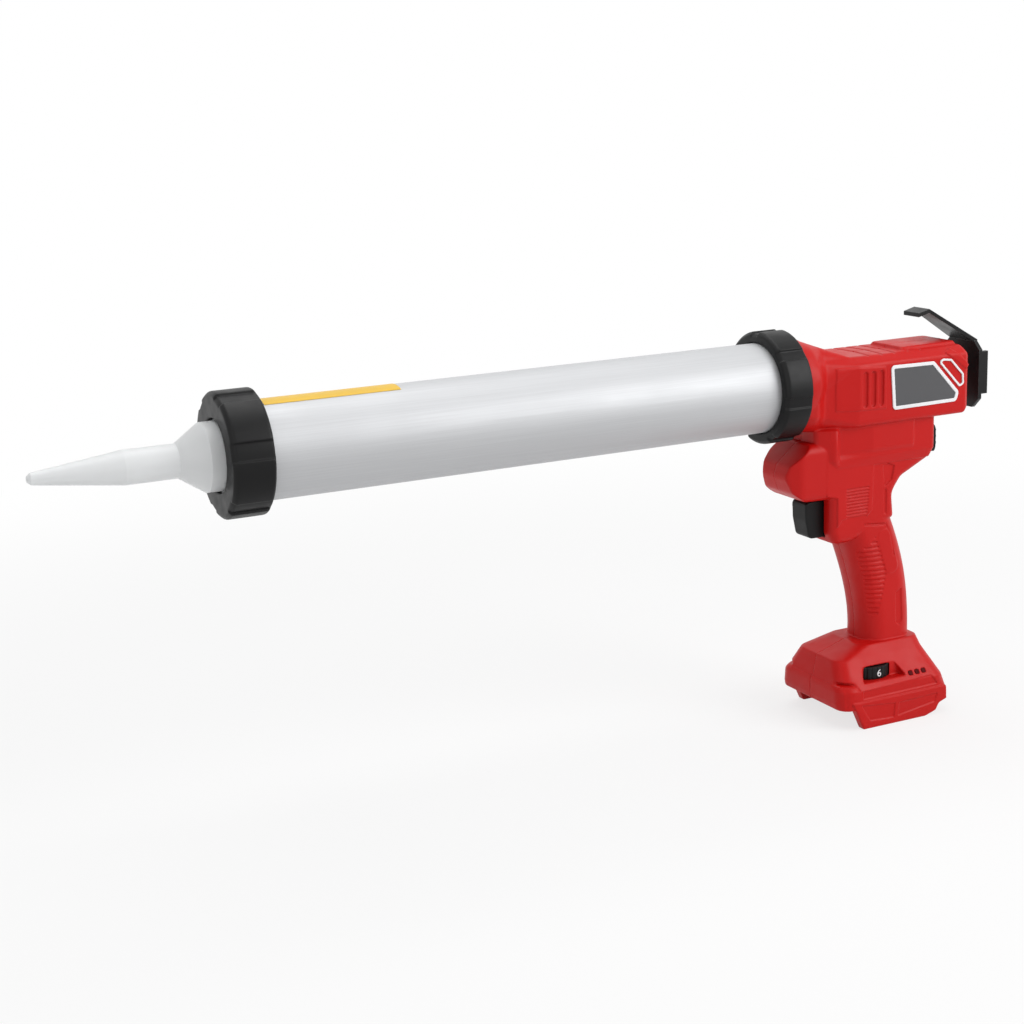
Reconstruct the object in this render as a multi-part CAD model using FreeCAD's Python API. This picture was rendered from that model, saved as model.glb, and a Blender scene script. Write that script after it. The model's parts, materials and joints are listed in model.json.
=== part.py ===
"""Cordless caulking tool for foil packs, as an assembly of separate pieces.

Every size below is in millimetres and is measured in the barrel frame: X = 0 on the front face of the
rear collar with +X to the rear, Y = 0 on the parting plane of the housing with -Y on the left side,
Z = 0 on the barrel axis. export() moves each finished piece to the part's own frame, whose origin is
the middle of the foot's underside.
"""
import FreeCAD, Part
import math
import os
from FreeCAD import Vector

os.makedirs("parts", exist_ok=True)

# Clearances
RUN_GAP = 0.3            # between pieces that move past each other
SHAFT_GAP = 0.05         # radial, shafts and pins in their holes
SEAT_GAP = 0.05          # between pieces that seat in one body
BACKLASH = 0.35          # between gear teeth, along the pitch line

# Barrel
TUBE_RADIUS = 27.0
TUBE_WALL = 2.0
TUBE_LENGTH = 335.0
BEAD_HEIGHT = 2.5        # rim at the tube's rear end
BEAD_THICKNESS = 2.0
THREAD_WALL = 3.0        # of the two threaded rings, over the tube
THREAD_RING_LENGTH = 14.0
LABEL_THICKNESS = 0.2
LABEL_LENGTH = 77.0
LABEL_HALF_ANGLE = 19.5  # degrees, from the top of the tube
LABEL_SETBACK = 3.0      # from the front cap's rear end

# Grip rings
RING_WALL = 4.0          # of the two grip rings, over their threads
RING_LIP = 3.0           # thickness of the lip that bears on the barrel or the nozzle
RING_CHAMFER = 2.0
PAD_RISE = 1.3           # the raised grip pads stand this far out
COLLAR_LENGTH = 19.0
COLLAR_PADS = 7
COLLAR_PAD_ANGLE = 40.0  # degrees
COLLAR_PAD_PHASE = 73.5  # degrees from the top towards the left side
CAP_LENGTH = 23.0
CAP_PADS = 6
CAP_PAD_ANGLE = 43.0
CAP_PAD_PHASE = 48.5
CAP_CLEARANCE = 1.4      # of the nozzle in the cap's hole

# Nozzle
NOZZLE_FLANGE_INSET = 1.0  # of the flange's rim below the tube's outside
NOZZLE_FLANGE = 2.0
NOZZLE_BASE_RADIUS = 18.6
NOZZLE_BASE_LENGTH = 10.0
NOZZLE_FLARE_LENGTH = 14.0
NOZZLE_STEM_RADIUS = 9.2
NOZZLE_STEM_LENGTH = 28.0
NOZZLE_TAPER_LENGTH = 48.5
NOZZLE_TIP_RADIUS = 3.2
NOZZLE_WALL = 1.6

# Housing
WALL = 2.5
NECK_STEP = 0.5          # of the neck below the threaded ring
NECK_ROUNDING = 0.93     # share of the neck's radius that its corners take
BODY_FRONT_X = 56.0
BODY_REAR_X = 141.0
BODY_HALF_WIDTH = 25.0
BODY_BOTTOM_Z = -27.0
SHOULDER_Z = 11.0
BODY_TOP_Z = 15.5
DECK_HALF_WIDTH = 18.5
DECK_FRONT_X = 94.0
DECK_RISE = 2.0
REAR_BEVEL = 3.0
MID_FRONT_X = 33.0
MID_REAR_X = 120.0
MID_HALF_WIDTH = 21.5
MID_BOTTOM_Z = -47.0
MID_TAPER = 6.0          # height of the slope between gear case and grip
MID_FACET = 11.0         # length and depth of the slanting facets at its front corners
MID_DRAW = 6.0
NOSE_FRONT_X = 12.5
NOSE_HALF_WIDTH = 18.0
NOSE_GAP = 2.0           # between the collar and the nose
NOSE_HEIGHT = 36.0
NOSE_LENGTH = 50.0
NOSE_FACE_HALF_WIDTH = 13.0  # flat front between the two slanting facets
NOSE_FACET = 9.0         # length of those facets along the nose
NOSE_ROUND = 6.0
GRIP_HALF_WIDTH = 17.5
GRIP_ROUND = 5.0
SADDLE_X = 90.5          # hollow for the web of the hand
SADDLE_RISE = 11.0       # of the hollow above the handle's top
HANDLE_OVERLAP = 13.0    # of the handle and the trigger housing
HANDLE_LENGTH = 90.0
HANDLE_HALF_WIDTH = 16.0
HANDLE_ROUND = 13.0
FOOT_NECK = 6.5          # height of the step round the handle's lower end
FOOT_DROP = 1.0          # of the foot's top below the handle's end
FOOT_SLOPE = 17.0        # height of the sloping sides
FOOT_SIDE = 12.0         # height of the upright sides
SKIRT_DROP = 13.0        # of the skirts below the foot's floor
FOOT_FRONT_X = 41.0
FOOT_REAR_X = 125.0
FOOT_HALF_WIDTH = 34.5
FOOT_TOP_HALF_WIDTH = 23.0
SKIRT_THICKNESS = 6.0
SKIRT_STEP = 1.0         # the skirts stand this far out of the foot's sides
RAIL_WIDTH = 3.0
RAIL_HEIGHT = 4.0

# Moulded relief on the housing, the same on both sides
RELIEF = 0.7             # depth of the moulded grooves
PANEL_RISE = 0.7         # the raised panels stand this far out
MID_PANEL_RISE = 1.2
MID_PANEL_RIDGE_X = 70.8
MID_PANEL_REAR_X = 101.5
VENT_COUNT = 3
VENT_PITCH = 5.9
VENT_WIDTH = 3.6
VENT_HEIGHT = 22.0
VENT_FIRST_X = 61.8
VENT_MID_Z = -4.2
VENT_DEPTH = 1.4
VENT_PAD_OUTLINE = [(42.5, 10.3), (42.8, -16.0), (77.6, -17.0), (76.6, 8.6)]
TOP_GROOVES = 5
TOP_GROOVE_FIRST_X = 70.0
TOP_GROOVE_PITCH = 9.6
TOP_GROOVE_WIDTH = 1.6
TOP_GROOVE_LEAN = 3.0    # each groove runs forward this far from the middle to the shoulders
BAR_OUTLINE = [(122.8, 12.4), (128.2, 14.4), (141.0, 3.2), (138.2, 1.0)]
RIB_COUNT = 17
RIB_PITCH = 3.15
RIB_GAP = 1.4            # width of the groove between two ribs
RIB_FIRST_DROP = 16.0    # first rib below the handle's top
RIB_FRONT_X = 73.0       # ends of the first groove
RIB_REAR_X = 77.0
THUMB_RIB_COUNT = 10
THUMB_RIB_PITCH = 2.0
THUMB_RIB_GAP = 1.0
THUMB_RIB_FRONT_X = 53.9
THUMB_RIB_REAR_X = 71.0

# Housing screws
SCREW_RADIUS = 1.5
SCREW_HEAD_RADIUS = 2.8
SCREW_HEAD = 2.0
SCREW_SINK = 4.0         # depth of the head's seat below the housing's surface
SCREW_REACH = 8.0        # how far the screw enters the left half
BOSS_RADIUS = 4.6
SPIGOT_SLEEVE = 7.0      # length of the spigot inside the neck

# Rack rod and what it carries
ROD_SIZE = 10.0          # square section
ROD_STROKE = 290.0
PISTON_THICKNESS = 12.0
PISTON_SETBACK = 25.0    # piston's front face behind the tube's front end
SEAL_WIDTH = 4.0
SEAL_DEPTH = 2.4
ROD_SCREW_RADIUS = 2.5
ROD_SCREW_HEAD_RADIUS = 4.5
ROD_SCREW_HEAD = 3.0
ROD_SCREW_DEPTH = 12.0
HOOK_GAP = 14.0          # hook plate behind the housing's rear face
HOOK_THICKNESS = 2.5
HOOK_HALF_WIDTH = 17.0
HOOK_TOP_Z = 16.0
HOOK_BOTTOM_Z = -27.0
HOOK_CHAMFER = 6.0
HOOK_FLANGE = 4.5        # rearward depth of the two bent side flanges
HOOK_FLANGE_TOP_Z = 9.0
HOOK_FLANGE_BOTTOM_Z = -18.0
ARM_REACH = 32.0         # forward reach of the hook's arm
ARM_RISE = 19.2
ARM_ROOT_HALF_WIDTH = 12.0
ARM_TIP_HALF_WIDTH = 7.5
TAB_LENGTH = 8.0
TAB_DROP = 2.0

# Drive
RACK_MODULE = 1.5
DRIVE_TEETH = 16
DRIVE_X = 86.0
DRIVE_WIDTH = 11.0
GEAR_MODULE = 1.5
FINAL_TEETH = 32
FINAL_WIDTH = 6.0
LAY_TEETH = 15
LAY_WIDTH = 7.0
GEAR_SPACE = 2.5         # between the drive pinion and the final gear
DRIVE_SHAFT_RADIUS = 4.0
LAY_SHAFT_RADIUS = 3.0
FRAME_PLATE = 2.4
FRAME_REACH = 23.0       # half-length of the gear frame's plates
FRAME_TOP_Z = 10.0
FRAME_BOTTOM_Z = -43.0
POST_RADIUS = 2.0
MOTOR_RADIUS = 13.0
MOTOR_FRONT_X = 29.0
MOTOR_LENGTH = 26.0
MOTOR_CAP = 3.0
GEARBOX_LENGTH = 17.0    # round reduction stage behind the motor
GEARBOX_REAR = 7.0       # the right angle head ends this far behind the layshaft
GEARBOX_SIDE_Y = 5.0
GEARBOX_HEAD_HALF = 11.5  # half-height of the right angle head

# Trigger, switch and release lever
TRIGGER_FRONT_X = 30.0
TRIGGER_HALF_WIDTH = 7.5
TRIGGER_GAP = 1.5        # between the nose and the trigger
TRIGGER_HEIGHT = 23.5
TRIGGER_TRAVEL = 7.0
TRIGGER_REAR_X = 50.0
SWITCH_LENGTH = 24.0
SWITCH_HALF_WIDTH = 8.0
LEVER_HALF_WIDTH = 7.0
LEVER_DEPTH = 5.5        # how far the lever stands out behind the housing
LEVER_TOP_Z = -31.0
LEVER_BOTTOM_Z = -53.0
LEVER_PIN_RADIUS = 1.5

# Foot electrics
DIAL_X = 72.0
DIAL_RADIUS = 14.0
DIAL_HEIGHT = 7.6
DIAL_FACE_Y = -26.0      # flat face of the recess round the dial
DIAL_PROUD = 3.0         # how far the dial stands out of that face
DIAL_DROP = 13.0         # of the dial's underside below the foot's top
DIAL_NOTCHES = 26
DIAL_NOTCH_DEPTH = 0.6
DIAL_POST_RADIUS = 3.0
LED_FIRST_X = 94.5
LED_PITCH = 5.0
LED_SIZE = 2.8
LED_COUNT = 3
LED_DROP = 12.5          # of the windows' middle below the foot's top
BOARD_THICKNESS = 1.6
BLOCK_FRONT_X = 80.0
BLOCK_LENGTH = 32.0
BLOCK_HALF_WIDTH = 14.0
BLOCK_HEIGHT = 9.0
BLADE_COUNT = 4
BLADE_PITCH = 7.0
BLADE_THICKNESS = 1.0
BLADE_DROP = 8.0

# Badge on the left side
BADGE_RAISE = 0.8
BADGE_BORDER = 2.2
BADGE_CORNER = 2.6
BADGE_OUTLINE = [(80.5, 8.8), (82.5, -18.8), (130.5, -18.5), (132.5, -12.5), (113.0, 8.3)]
LOOP_BORDER = 1.3
LOOP_CORNER = 1.8
LOOP_OUTLINE = [(116.4, 7.6), (133.0, -9.9), (136.3, -7.9), (136.0, -1.6), (126.4, 8.4), (120.2, 9.2)]

# Values worked out from the sizes above
TUBE_BORE = TUBE_RADIUS - TUBE_WALL
THREAD_RADIUS = TUBE_RADIUS + THREAD_WALL
RING_RADIUS = THREAD_RADIUS + RING_WALL
NOZZLE_FLANGE_RADIUS = TUBE_RADIUS - NOZZLE_FLANGE_INSET
CAP_OPENING = NOZZLE_BASE_RADIUS + CAP_CLEARANCE
NECK_RADIUS = THREAD_RADIUS - NECK_STEP
NOSE_TOP_Z = -RING_RADIUS - NOSE_GAP
NOSE_BOTTOM_Z = NOSE_TOP_Z - NOSE_HEIGHT
TRIGGER_TOP_Z = NOSE_BOTTOM_Z - TRIGGER_GAP
TRIGGER_BOTTOM_Z = TRIGGER_TOP_Z - TRIGGER_HEIGHT
HANDLE_TOP_Z = TRIGGER_BOTTOM_Z + HANDLE_OVERLAP
HANDLE_BOTTOM_Z = HANDLE_TOP_Z - HANDLE_LENGTH
FOOT_TOP_Z = HANDLE_BOTTOM_Z - FOOT_DROP
FOOT_NECK_Z = FOOT_TOP_Z + FOOT_NECK
FOOT_EDGE_Z = FOOT_TOP_Z - FOOT_SLOPE
FOOT_FLOOR_Z = FOOT_EDGE_Z - FOOT_SIDE
FOOT_BOTTOM_Z = FOOT_FLOOR_Z - SKIRT_DROP
DIAL_BOTTOM_Z = FOOT_TOP_Z - DIAL_DROP
LED_Z = FOOT_TOP_Z - LED_DROP
MID_BASE_HALF_WIDTH = MID_HALF_WIDTH - MID_PANEL_RISE
MID_PANEL_FRONT_X = MID_FRONT_X + MID_FACET
TUBE_REAR_X = RING_LIP + RUN_GAP + BEAD_THICKNESS
TUBE_FRONT_X = TUBE_REAR_X - TUBE_LENGTH
NOZZLE_SEAT_X = TUBE_FRONT_X - RUN_GAP
CAP_FRONT_X = NOZZLE_SEAT_X - NOZZLE_FLANGE - RUN_GAP - RING_LIP
HOUSING_FRONT_X = COLLAR_LENGTH + 2 * RUN_GAP
HOOK_FRONT_X = BODY_REAR_X + HOOK_GAP
PISTON_FRONT_X = TUBE_FRONT_X + PISTON_SETBACK
PISTON_REAR_X = PISTON_FRONT_X + PISTON_THICKNESS
PISTON_RADIUS = TUBE_BORE - 2 * RUN_GAP
RACK_PITCH = math.pi * RACK_MODULE
DRIVE_PITCH_RADIUS = RACK_MODULE * DRIVE_TEETH / 2
RACK_LINE_Z = -ROD_SIZE / 2 + RACK_MODULE
DRIVE_Z = RACK_LINE_Z - DRIVE_PITCH_RADIUS
LAY_Z = DRIVE_Z - GEAR_MODULE * (FINAL_TEETH + LAY_TEETH) / 2
MOTOR_Z = (NOSE_TOP_Z + NOSE_BOTTOM_Z) / 2 + 0.5
FRAME_OUTER_Y = MID_HALF_WIDTH - WALL - SEAT_GAP
FRAME_INNER_Y = FRAME_OUTER_Y - FRAME_PLATE
FINAL_Y = DRIVE_WIDTH / 2 + GEAR_SPACE
DIAL_Y = DIAL_FACE_Y - DIAL_PROUD + DIAL_RADIUS
BOARD_Z = FOOT_FLOOR_Z + WALL + BLOCK_HEIGHT - 4.0
FOOT_MID_X = (FOOT_FRONT_X + FOOT_REAR_X) / 2
LEVER_PIN_X = MID_REAR_X - WALL - 3.0
LEVER_PIN_Z = LEVER_TOP_Z - 3.5
SPIGOT_SLEEVE_RADIUS = NECK_RADIUS - WALL
# Handle outlines: share of its length, front, rear and half-width
HANDLE_STATIONS = [(0.0, 53.0, 91.5, GRIP_HALF_WIDTH - 0.1), (0.211, 60.5, 99.0, GRIP_HALF_WIDTH - 0.1),
                   (0.489, 68.5, 106.5, HANDLE_HALF_WIDTH + 0.4), (0.733, 73.0, 109.5, HANDLE_HALF_WIDTH),
                   (1.0, 73.0, 110.0, HANDLE_HALF_WIDTH)]
# Housing screws: place in X and Z, and half-width of the housing there
SCREW_PLACES = [(BODY_REAR_X - 13.0, BODY_BOTTOM_Z + 7.5, BODY_HALF_WIDTH),
                (MID_FRONT_X + 10.0, BODY_BOTTOM_Z - 5.0, MID_BASE_HALF_WIDTH - 1.0),
                (92.0, HANDLE_BOTTOM_Z + 24.0, HANDLE_HALF_WIDTH),
                (FOOT_FRONT_X + 8.0, FOOT_FLOOR_Z + 6.0, FOOT_HALF_WIDTH),
                (FOOT_REAR_X - 8.0, FOOT_FLOOR_Z + 6.0, FOOT_HALF_WIDTH)]
PRESSURE = math.radians(20)
BIG = 1000.0


def export(name, shape):
    """Move a piece from the barrel frame to the part's frame and write it."""
    placed = shape.copy()
    placed.translate(Vector(-FOOT_MID_X, 0, -FOOT_BOTTOM_Z))
    placed.exportStep("parts/%s.step" % name)


def box(x0, x1, y0, y1, z0, z1):
    return Part.makeBox(x1 - x0, y1 - y0, z1 - z0, Vector(x0, y0, z0))


def rod_x(radius, x0, x1, y=0.0, z=0.0):
    return Part.makeCylinder(radius, x1 - x0, Vector(x0, y, z), Vector(1, 0, 0))


def rod_y(radius, y0, y1, x, z):
    return Part.makeCylinder(radius, y1 - y0, Vector(x, y0, z), Vector(0, 1, 0))


def rod_z(radius, z0, z1, x, y):
    return Part.makeCylinder(radius, z1 - z0, Vector(x, y, z0), Vector(0, 0, 1))


def tube_x(outer, inner, x0, x1):
    return rod_x(outer, x0, x1).cut(rod_x(inner, x0, x1))


def revolve_x(profile):
    """Solid of revolution about the barrel axis from (x, radius) points."""
    points = [Vector(x, 0, r) for x, r in profile]
    face = Part.Face(Part.makePolygon(points + points[:1]))
    return face.revolve(Vector(0, 0, 0), Vector(1, 0, 0), 360)


def rounded_wire(points, radii, straight=False):
    """Closed wire through points in space; each corner has an arc of its own radius, or its chord."""
    arcs = []
    for i, corner in enumerate(points):
        back = (points[i - 1] - corner).normalize()
        ahead = (points[(i + 1) % len(points)] - corner).normalize()
        half = back.getAngle(ahead) / 2
        run = radii[i] / math.tan(half)
        depth = radii[i] / math.sin(half) - radii[i]
        middle = corner + (back + ahead).normalize() * depth
        arcs.append((corner + back * run, middle, corner + ahead * run))
    edges = []
    for i, (start, middle, end) in enumerate(arcs):
        edges.append(Part.makeLine(start, end) if straight else Part.Arc(start, middle, end).toShape())
        edges.append(Part.makeLine(end, arcs[(i + 1) % len(arcs)][0]))
    return Part.Wire(edges)


def plate_xz(outline, radii, y0, y1):
    """Plate with a rounded outline of (x, z) points, from y0 to y1."""
    wire = rounded_wire([Vector(x, y0, z) for x, z in outline], radii)
    return Part.Face(wire).extrude(Vector(0, y1 - y0, 0))


def hexagon_x(radius, x0, x1):
    """Hexagonal bar about the barrel axis."""
    points = []
    for k in range(6):
        angle = math.pi * k / 3
        points.append(Vector(x0, radius * math.cos(angle), radius * math.sin(angle)))
    return Part.Face(Part.makePolygon(points + points[:1])).extrude(Vector(x1 - x0, 0, 0))


def polygon_xz(outline, y0, y1):
    points = [Vector(x, y0, z) for x, z in outline]
    return Part.Face(Part.makePolygon(points + points[:1])).extrude(Vector(0, y1 - y0, 0))


def section_z(z, x0, x1, half_width, radius, straight=False):
    """Rectangle in a level plane, with rounded corners or straight cut ones."""
    corners = [(x0, -half_width), (x1, -half_width), (x1, half_width), (x0, half_width)]
    return rounded_wire([Vector(x, y, z) for x, y in corners], [radius] * 4, straight)


def prism_y(sides, radius, y0, y1, x, z):
    """Bar along Y with a regular outline; the radius reaches its corners."""
    outline = []
    for k in range(sides):
        angle = 2 * math.pi * (k + 0.5) / sides
        outline.append((x + radius * math.cos(angle), z + radius * math.sin(angle)))
    return polygon_xz(outline, y0, y1)


def side_prisms(outline, near, far):
    """The same prism on both sides of the housing, between two distances from the parting plane."""
    prisms = []
    for side in (-1, 1):
        y0, y1 = sorted((side * near, side * far))
        prisms.append(polygon_xz(outline, y0, y1))
    return prisms


def mirrored(shape):
    """A form on the left side with its mirror image on the right."""
    return [shape, shape.mirror(Vector(0, 0, 0), Vector(0, 1, 0))]


def strip(path, width):
    """Outline of a band of one width along a path of (x, z) points."""
    left = []
    right = []
    for i, (x, z) in enumerate(path):
        x0, z0 = path[max(i - 1, 0)]
        x1, z1 = path[min(i + 1, len(path) - 1)]
        run = math.hypot(x1 - x0, z1 - z0)
        dx = (z1 - z0) / run * width / 2
        dz = (x1 - x0) / run * width / 2
        left.append((x + dx, z - dz))
        right.append((x - dx, z + dz))
    return left + right[::-1]


def fuse_all(shapes):
    return shapes[0].multiFuse(shapes[1:]) if len(shapes) > 1 else shapes[0]


# Housing forms: each takes an inset, so the same form gives the outside and the hollow inside. The hollow
# has straight cut corners where the outside is rounded.

def body_section(x, inset, shrink=0.0):
    trim = inset + shrink
    side = BODY_HALF_WIDTH - trim
    deck = DECK_HALF_WIDTH - 0.7 * trim
    bottom = BODY_BOTTOM_Z + trim
    shoulder = SHOULDER_Z - 0.4 * trim
    top = BODY_TOP_Z - trim
    outline = [(-side, bottom), (side, bottom), (side, shoulder), (deck, top), (-deck, top),
               (-side, shoulder)]
    return rounded_wire([Vector(x, y, z) for y, z in outline], [3, 3, 3, 4, 4, 3], inset > 0)


def upper_body(inset):
    """Round neck behind the collar that runs out into the six sided gear body."""
    radius = NECK_RADIUS - inset
    corner = radius / math.cos(math.radians(30))
    outline = [(-corner / 2, -radius), (corner / 2, -radius), (corner, 0),
               (corner / 2, radius), (-corner / 2, radius), (-corner, 0)]
    corners = [Vector(HOUSING_FRONT_X, y, z) for y, z in outline]
    neck = rounded_wire(corners, [NECK_ROUNDING * radius] * 6, inset > 0)
    rear = BODY_REAR_X - inset
    sections = [neck, body_section(BODY_FRONT_X, inset), body_section(rear - REAR_BEVEL, inset),
                body_section(rear, inset, 0.6 * REAR_BEVEL)]
    return Part.makeLoft(sections, True, True)


def mid_section(inset):
    """Gear case under the body, drawn in at its front corners and tapered down to the grip."""
    front = MID_FRONT_X + inset
    rear = MID_REAR_X - inset
    side = MID_HALF_WIDTH - max(inset, MID_PANEL_RISE)
    narrow = GRIP_HALF_WIDTH + PANEL_RISE - inset
    levels = [(BODY_BOTTOM_Z + 2 * WALL, front, rear, side), (MID_BOTTOM_Z, front, rear, side),
              (MID_BOTTOM_Z - MID_TAPER, front + 3, rear - 2, narrow)]
    sections = []
    for z, x0, x1, half in levels:
        drawn = half - MID_DRAW
        plan = [(x0, -drawn), (x0 + MID_FACET, -half), (x1, -half), (x1, half), (x0 + MID_FACET, half),
                (x0, drawn)]
        corners = [Vector(x, y, z) for x, y in plan]
        sections.append(rounded_wire(corners, [4, 6, 4, 4, 6, 4], inset > 0))
    return Part.makeLoft(sections, True, True)


def mid_panels():
    """Raised cheeks beside the gears: each rises from its front edge to a ridge and steps down behind."""
    low = MID_BASE_HALF_WIDTH
    rear = MID_PANEL_REAR_X + MID_PANEL_RISE
    levels = [(BODY_BOTTOM_Z + WALL, MID_HALF_WIDTH), (MID_BOTTOM_Z + 2 * WALL, MID_HALF_WIDTH),
              (MID_BOTTOM_Z + WALL, low + MID_PANEL_RISE / 8)]
    sections = []
    for z, high in levels:
        plan = [(MID_PANEL_FRONT_X, low - 1), (MID_PANEL_FRONT_X, low), (MID_PANEL_RIDGE_X, high),
                (MID_PANEL_REAR_X, high), (rear, low), (rear, low - 1)]
        points = [Vector(x, -y, z) for x, y in plan]
        sections.append(Part.makePolygon(points + points[:1]))
    return mirrored(Part.makeLoft(sections, True, True))


def nose():
    """Motor nose under the collar: the form that its side, plan and front outlines share."""
    front = NOSE_FRONT_X
    rear = front + NOSE_LENGTH
    half = NOSE_HALF_WIDTH
    side_view = [(front + 17, NOSE_TOP_Z), (front + 2.5, NOSE_TOP_Z - 12), (front, NOSE_TOP_Z - 19),
                 (front + 4, NOSE_BOTTOM_Z + 7), (front + 12, NOSE_BOTTOM_Z + 1.2),
                 (front + 30, NOSE_BOTTOM_Z), (rear, NOSE_BOTTOM_Z), (rear, NOSE_TOP_Z)]
    side = plate_xz(side_view, [4, 6, 6, 6, 6, 3, 3, 3], -half, half)
    plan_view = [(front, -NOSE_FACE_HALF_WIDTH), (front + NOSE_FACET, -half), (rear, -half), (rear, half),
                 (front + NOSE_FACET, half), (front, NOSE_FACE_HALF_WIDTH)]
    wire = rounded_wire([Vector(x, y, NOSE_BOTTOM_Z) for x, y in plan_view], [5, 10, 1, 1, 10, 5])
    plan = Part.Face(wire).extrude(Vector(0, 0, NOSE_HEIGHT))
    front_view = [(-half, NOSE_BOTTOM_Z), (half, NOSE_BOTTOM_Z), (half, NOSE_TOP_Z), (-half, NOSE_TOP_Z)]
    wire = rounded_wire([Vector(front, y, z) for y, z in front_view], [NOSE_ROUND] * 4)
    bar = Part.Face(wire).extrude(Vector(NOSE_LENGTH, 0, 0))
    return side.common(plan).common(bar)


def nose_hollow():
    """Room for the motor."""
    front = NOSE_FRONT_X
    rear = front + NOSE_LENGTH
    top = NOSE_TOP_Z - WALL
    low = NOSE_BOTTOM_Z + WALL
    outline = [(front + 11, top - 5), (front + 17, top), (rear, top), (rear, low), (front + 14, low),
               (front + 11, low + 3.5)]
    half = NOSE_HALF_WIDTH - WALL
    return polygon_xz(outline, -half, half)


def grip_outline():
    """Side view of the trigger housing between the gear body and the handle."""
    front = TRIGGER_REAR_X - 6
    top = MID_BOTTOM_Z + 3
    low = TRIGGER_BOTTOM_Z - 4
    return [(front - 4, top), (MID_REAR_X - 0.5, top), (MID_REAR_X - 2, MID_BOTTOM_Z - 7),
            (SADDLE_X + 6.5, HANDLE_TOP_Z + 2 * SADDLE_RISE - 2), (SADDLE_X, HANDLE_TOP_Z + SADDLE_RISE),
            (SADDLE_X + 1.5, low + 12), (front + 14, low), (front + 3, low), (front, low + 7),
            (front, MID_BOTTOM_Z - 13)]


def grip_top():
    """Trigger housing, rounded along both rims."""
    solid = plate_xz(grip_outline(), [2, 3, 3, 8, 10, 2, 6, 3, 3, 2], -GRIP_HALF_WIDTH, GRIP_HALF_WIDTH)
    rims = [e for e in solid.Edges if e.BoundBox.YLength < 0.001]
    return solid.makeFillet(GRIP_ROUND, rims)


def grip_hollow():
    half = GRIP_HALF_WIDTH - WALL
    points = [Vector(x, -half, z) for x, z in grip_outline()]
    face = Part.Face(Part.makePolygon(points + points[:1]))
    return Part.Face(face.makeOffset2D(-WALL, join=2).Wires).extrude(Vector(0, 2 * half, 0))


def grip_panels():
    """Raised panels beside the trigger that carry the thumb ribs."""
    front = TRIGGER_REAR_X - 2.5
    top = MID_BOTTOM_Z + 1
    low = TRIGGER_BOTTOM_Z
    outline = [(front - 8, top), (74.5, top), (73.4, low + 15.5), (69.5, low + 12), (front + 3.5, low + 12),
               (front, low + 7.5), (front, NOSE_BOTTOM_Z + 1), (front - 8, NOSE_BOTTOM_Z + 3)]
    return side_prisms(outline, GRIP_HALF_WIDTH - 1, GRIP_HALF_WIDTH + PANEL_RISE)


def handle(inset):
    """Leaning oval handle."""
    sections = []
    for share, x0, x1, half in HANDLE_STATIONS:
        z = HANDLE_TOP_Z - share * HANDLE_LENGTH
        sections.append(section_z(z, x0 + inset, x1 - inset, half - inset, HANDLE_ROUND - inset, inset > 0))
    return Part.makeLoft(sections, True, inset > 0)


def handle_at(z):
    """Front and half-width of the handle at a height."""
    share = (HANDLE_TOP_Z - z) / HANDLE_LENGTH
    for upper, lower in zip(HANDLE_STATIONS, HANDLE_STATIONS[1:]):
        if share <= lower[0]:
            part = (share - upper[0]) / (lower[0] - upper[0])
            return upper[1] + part * (lower[1] - upper[1]), upper[3] + part * (lower[3] - upper[3])
    return HANDLE_STATIONS[-1][1], HANDLE_STATIONS[-1][3]


def handle_ribs():
    """Grooves between the grip's ribs; each follows the handle's side and turns in round its front corner."""
    cuts = []
    for k in range(RIB_COUNT):
        drop = k * RIB_PITCH
        z = HANDLE_TOP_Z - RIB_FIRST_DROP - drop
        front, half = handle_at(z)
        middle = front + HANDLE_ROUND
        rear = min(RIB_REAR_X + 0.38 * drop, RIB_REAR_X + 13 - 0.17 * drop)
        far = half + 2
        plan = [(rear, far), (rear, half - RELIEF)]
        for degrees in (90, 115, 140):
            angle = math.radians(degrees)
            reach = HANDLE_ROUND - RELIEF
            point = (middle + reach * math.cos(angle), half - HANDLE_ROUND + reach * math.sin(angle))
            if point[0] > RIB_FRONT_X - 0.9 * drop and point[0] < rear:
                plan.append(point)
        plan.append((min(plan[-1][0], rear - 4) - 2, far))
        points = [Vector(x, -y, z - RIB_GAP / 2) for x, y in plan]
        groove = Part.Face(Part.makePolygon(points + points[:1])).extrude(Vector(0, 0, RIB_GAP))
        cuts += mirrored(groove)
    return cuts


def palm_ovals():
    """Bare oval pads on both sides of the handle, level with its leaning sides."""
    top = HANDLE_TOP_Z - 12
    lean = (GRIP_HALF_WIDTH - HANDLE_HALF_WIDTH - 0.4) / 32
    corners = []
    for x, drop in ((77.5, 1.0), (86.5, -2.0), (95.5, 27.0), (86.5, 30.0)):
        corners.append(Vector(x, -GRIP_HALF_WIDTH - PANEL_RISE / 2 + lean * drop, top - drop))
    wire = rounded_wire(corners, [4.4] * 4)
    return mirrored(Part.Face(wire).extrude(Vector(0, WALL, 0)))


def foot(inset):
    """Battery foot that spreads out below the handle."""
    front = FOOT_FRONT_X + inset
    rear = FOOT_REAR_X - inset
    neck_front = HANDLE_STATIONS[-1][1] - 7 + inset
    neck_rear = HANDLE_STATIONS[-1][2] + 2 - inset
    levels = [(FOOT_NECK_Z - inset, neck_front, neck_rear, HANDLE_HALF_WIDTH + 2, 8),
              (FOOT_TOP_Z - inset, front + 4, rear - 12, FOOT_TOP_HALF_WIDTH, 9),
              (FOOT_EDGE_Z, front, rear - 4, FOOT_HALF_WIDTH, 10),
              (FOOT_FLOOR_Z + inset, front, rear, FOOT_HALF_WIDTH, 8)]
    sections = [section_z(z, x0, x1, half - inset, radius, inset > 0) for z, x0, x1, half, radius in levels]
    return Part.makeLoft(sections, True, True)


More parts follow.
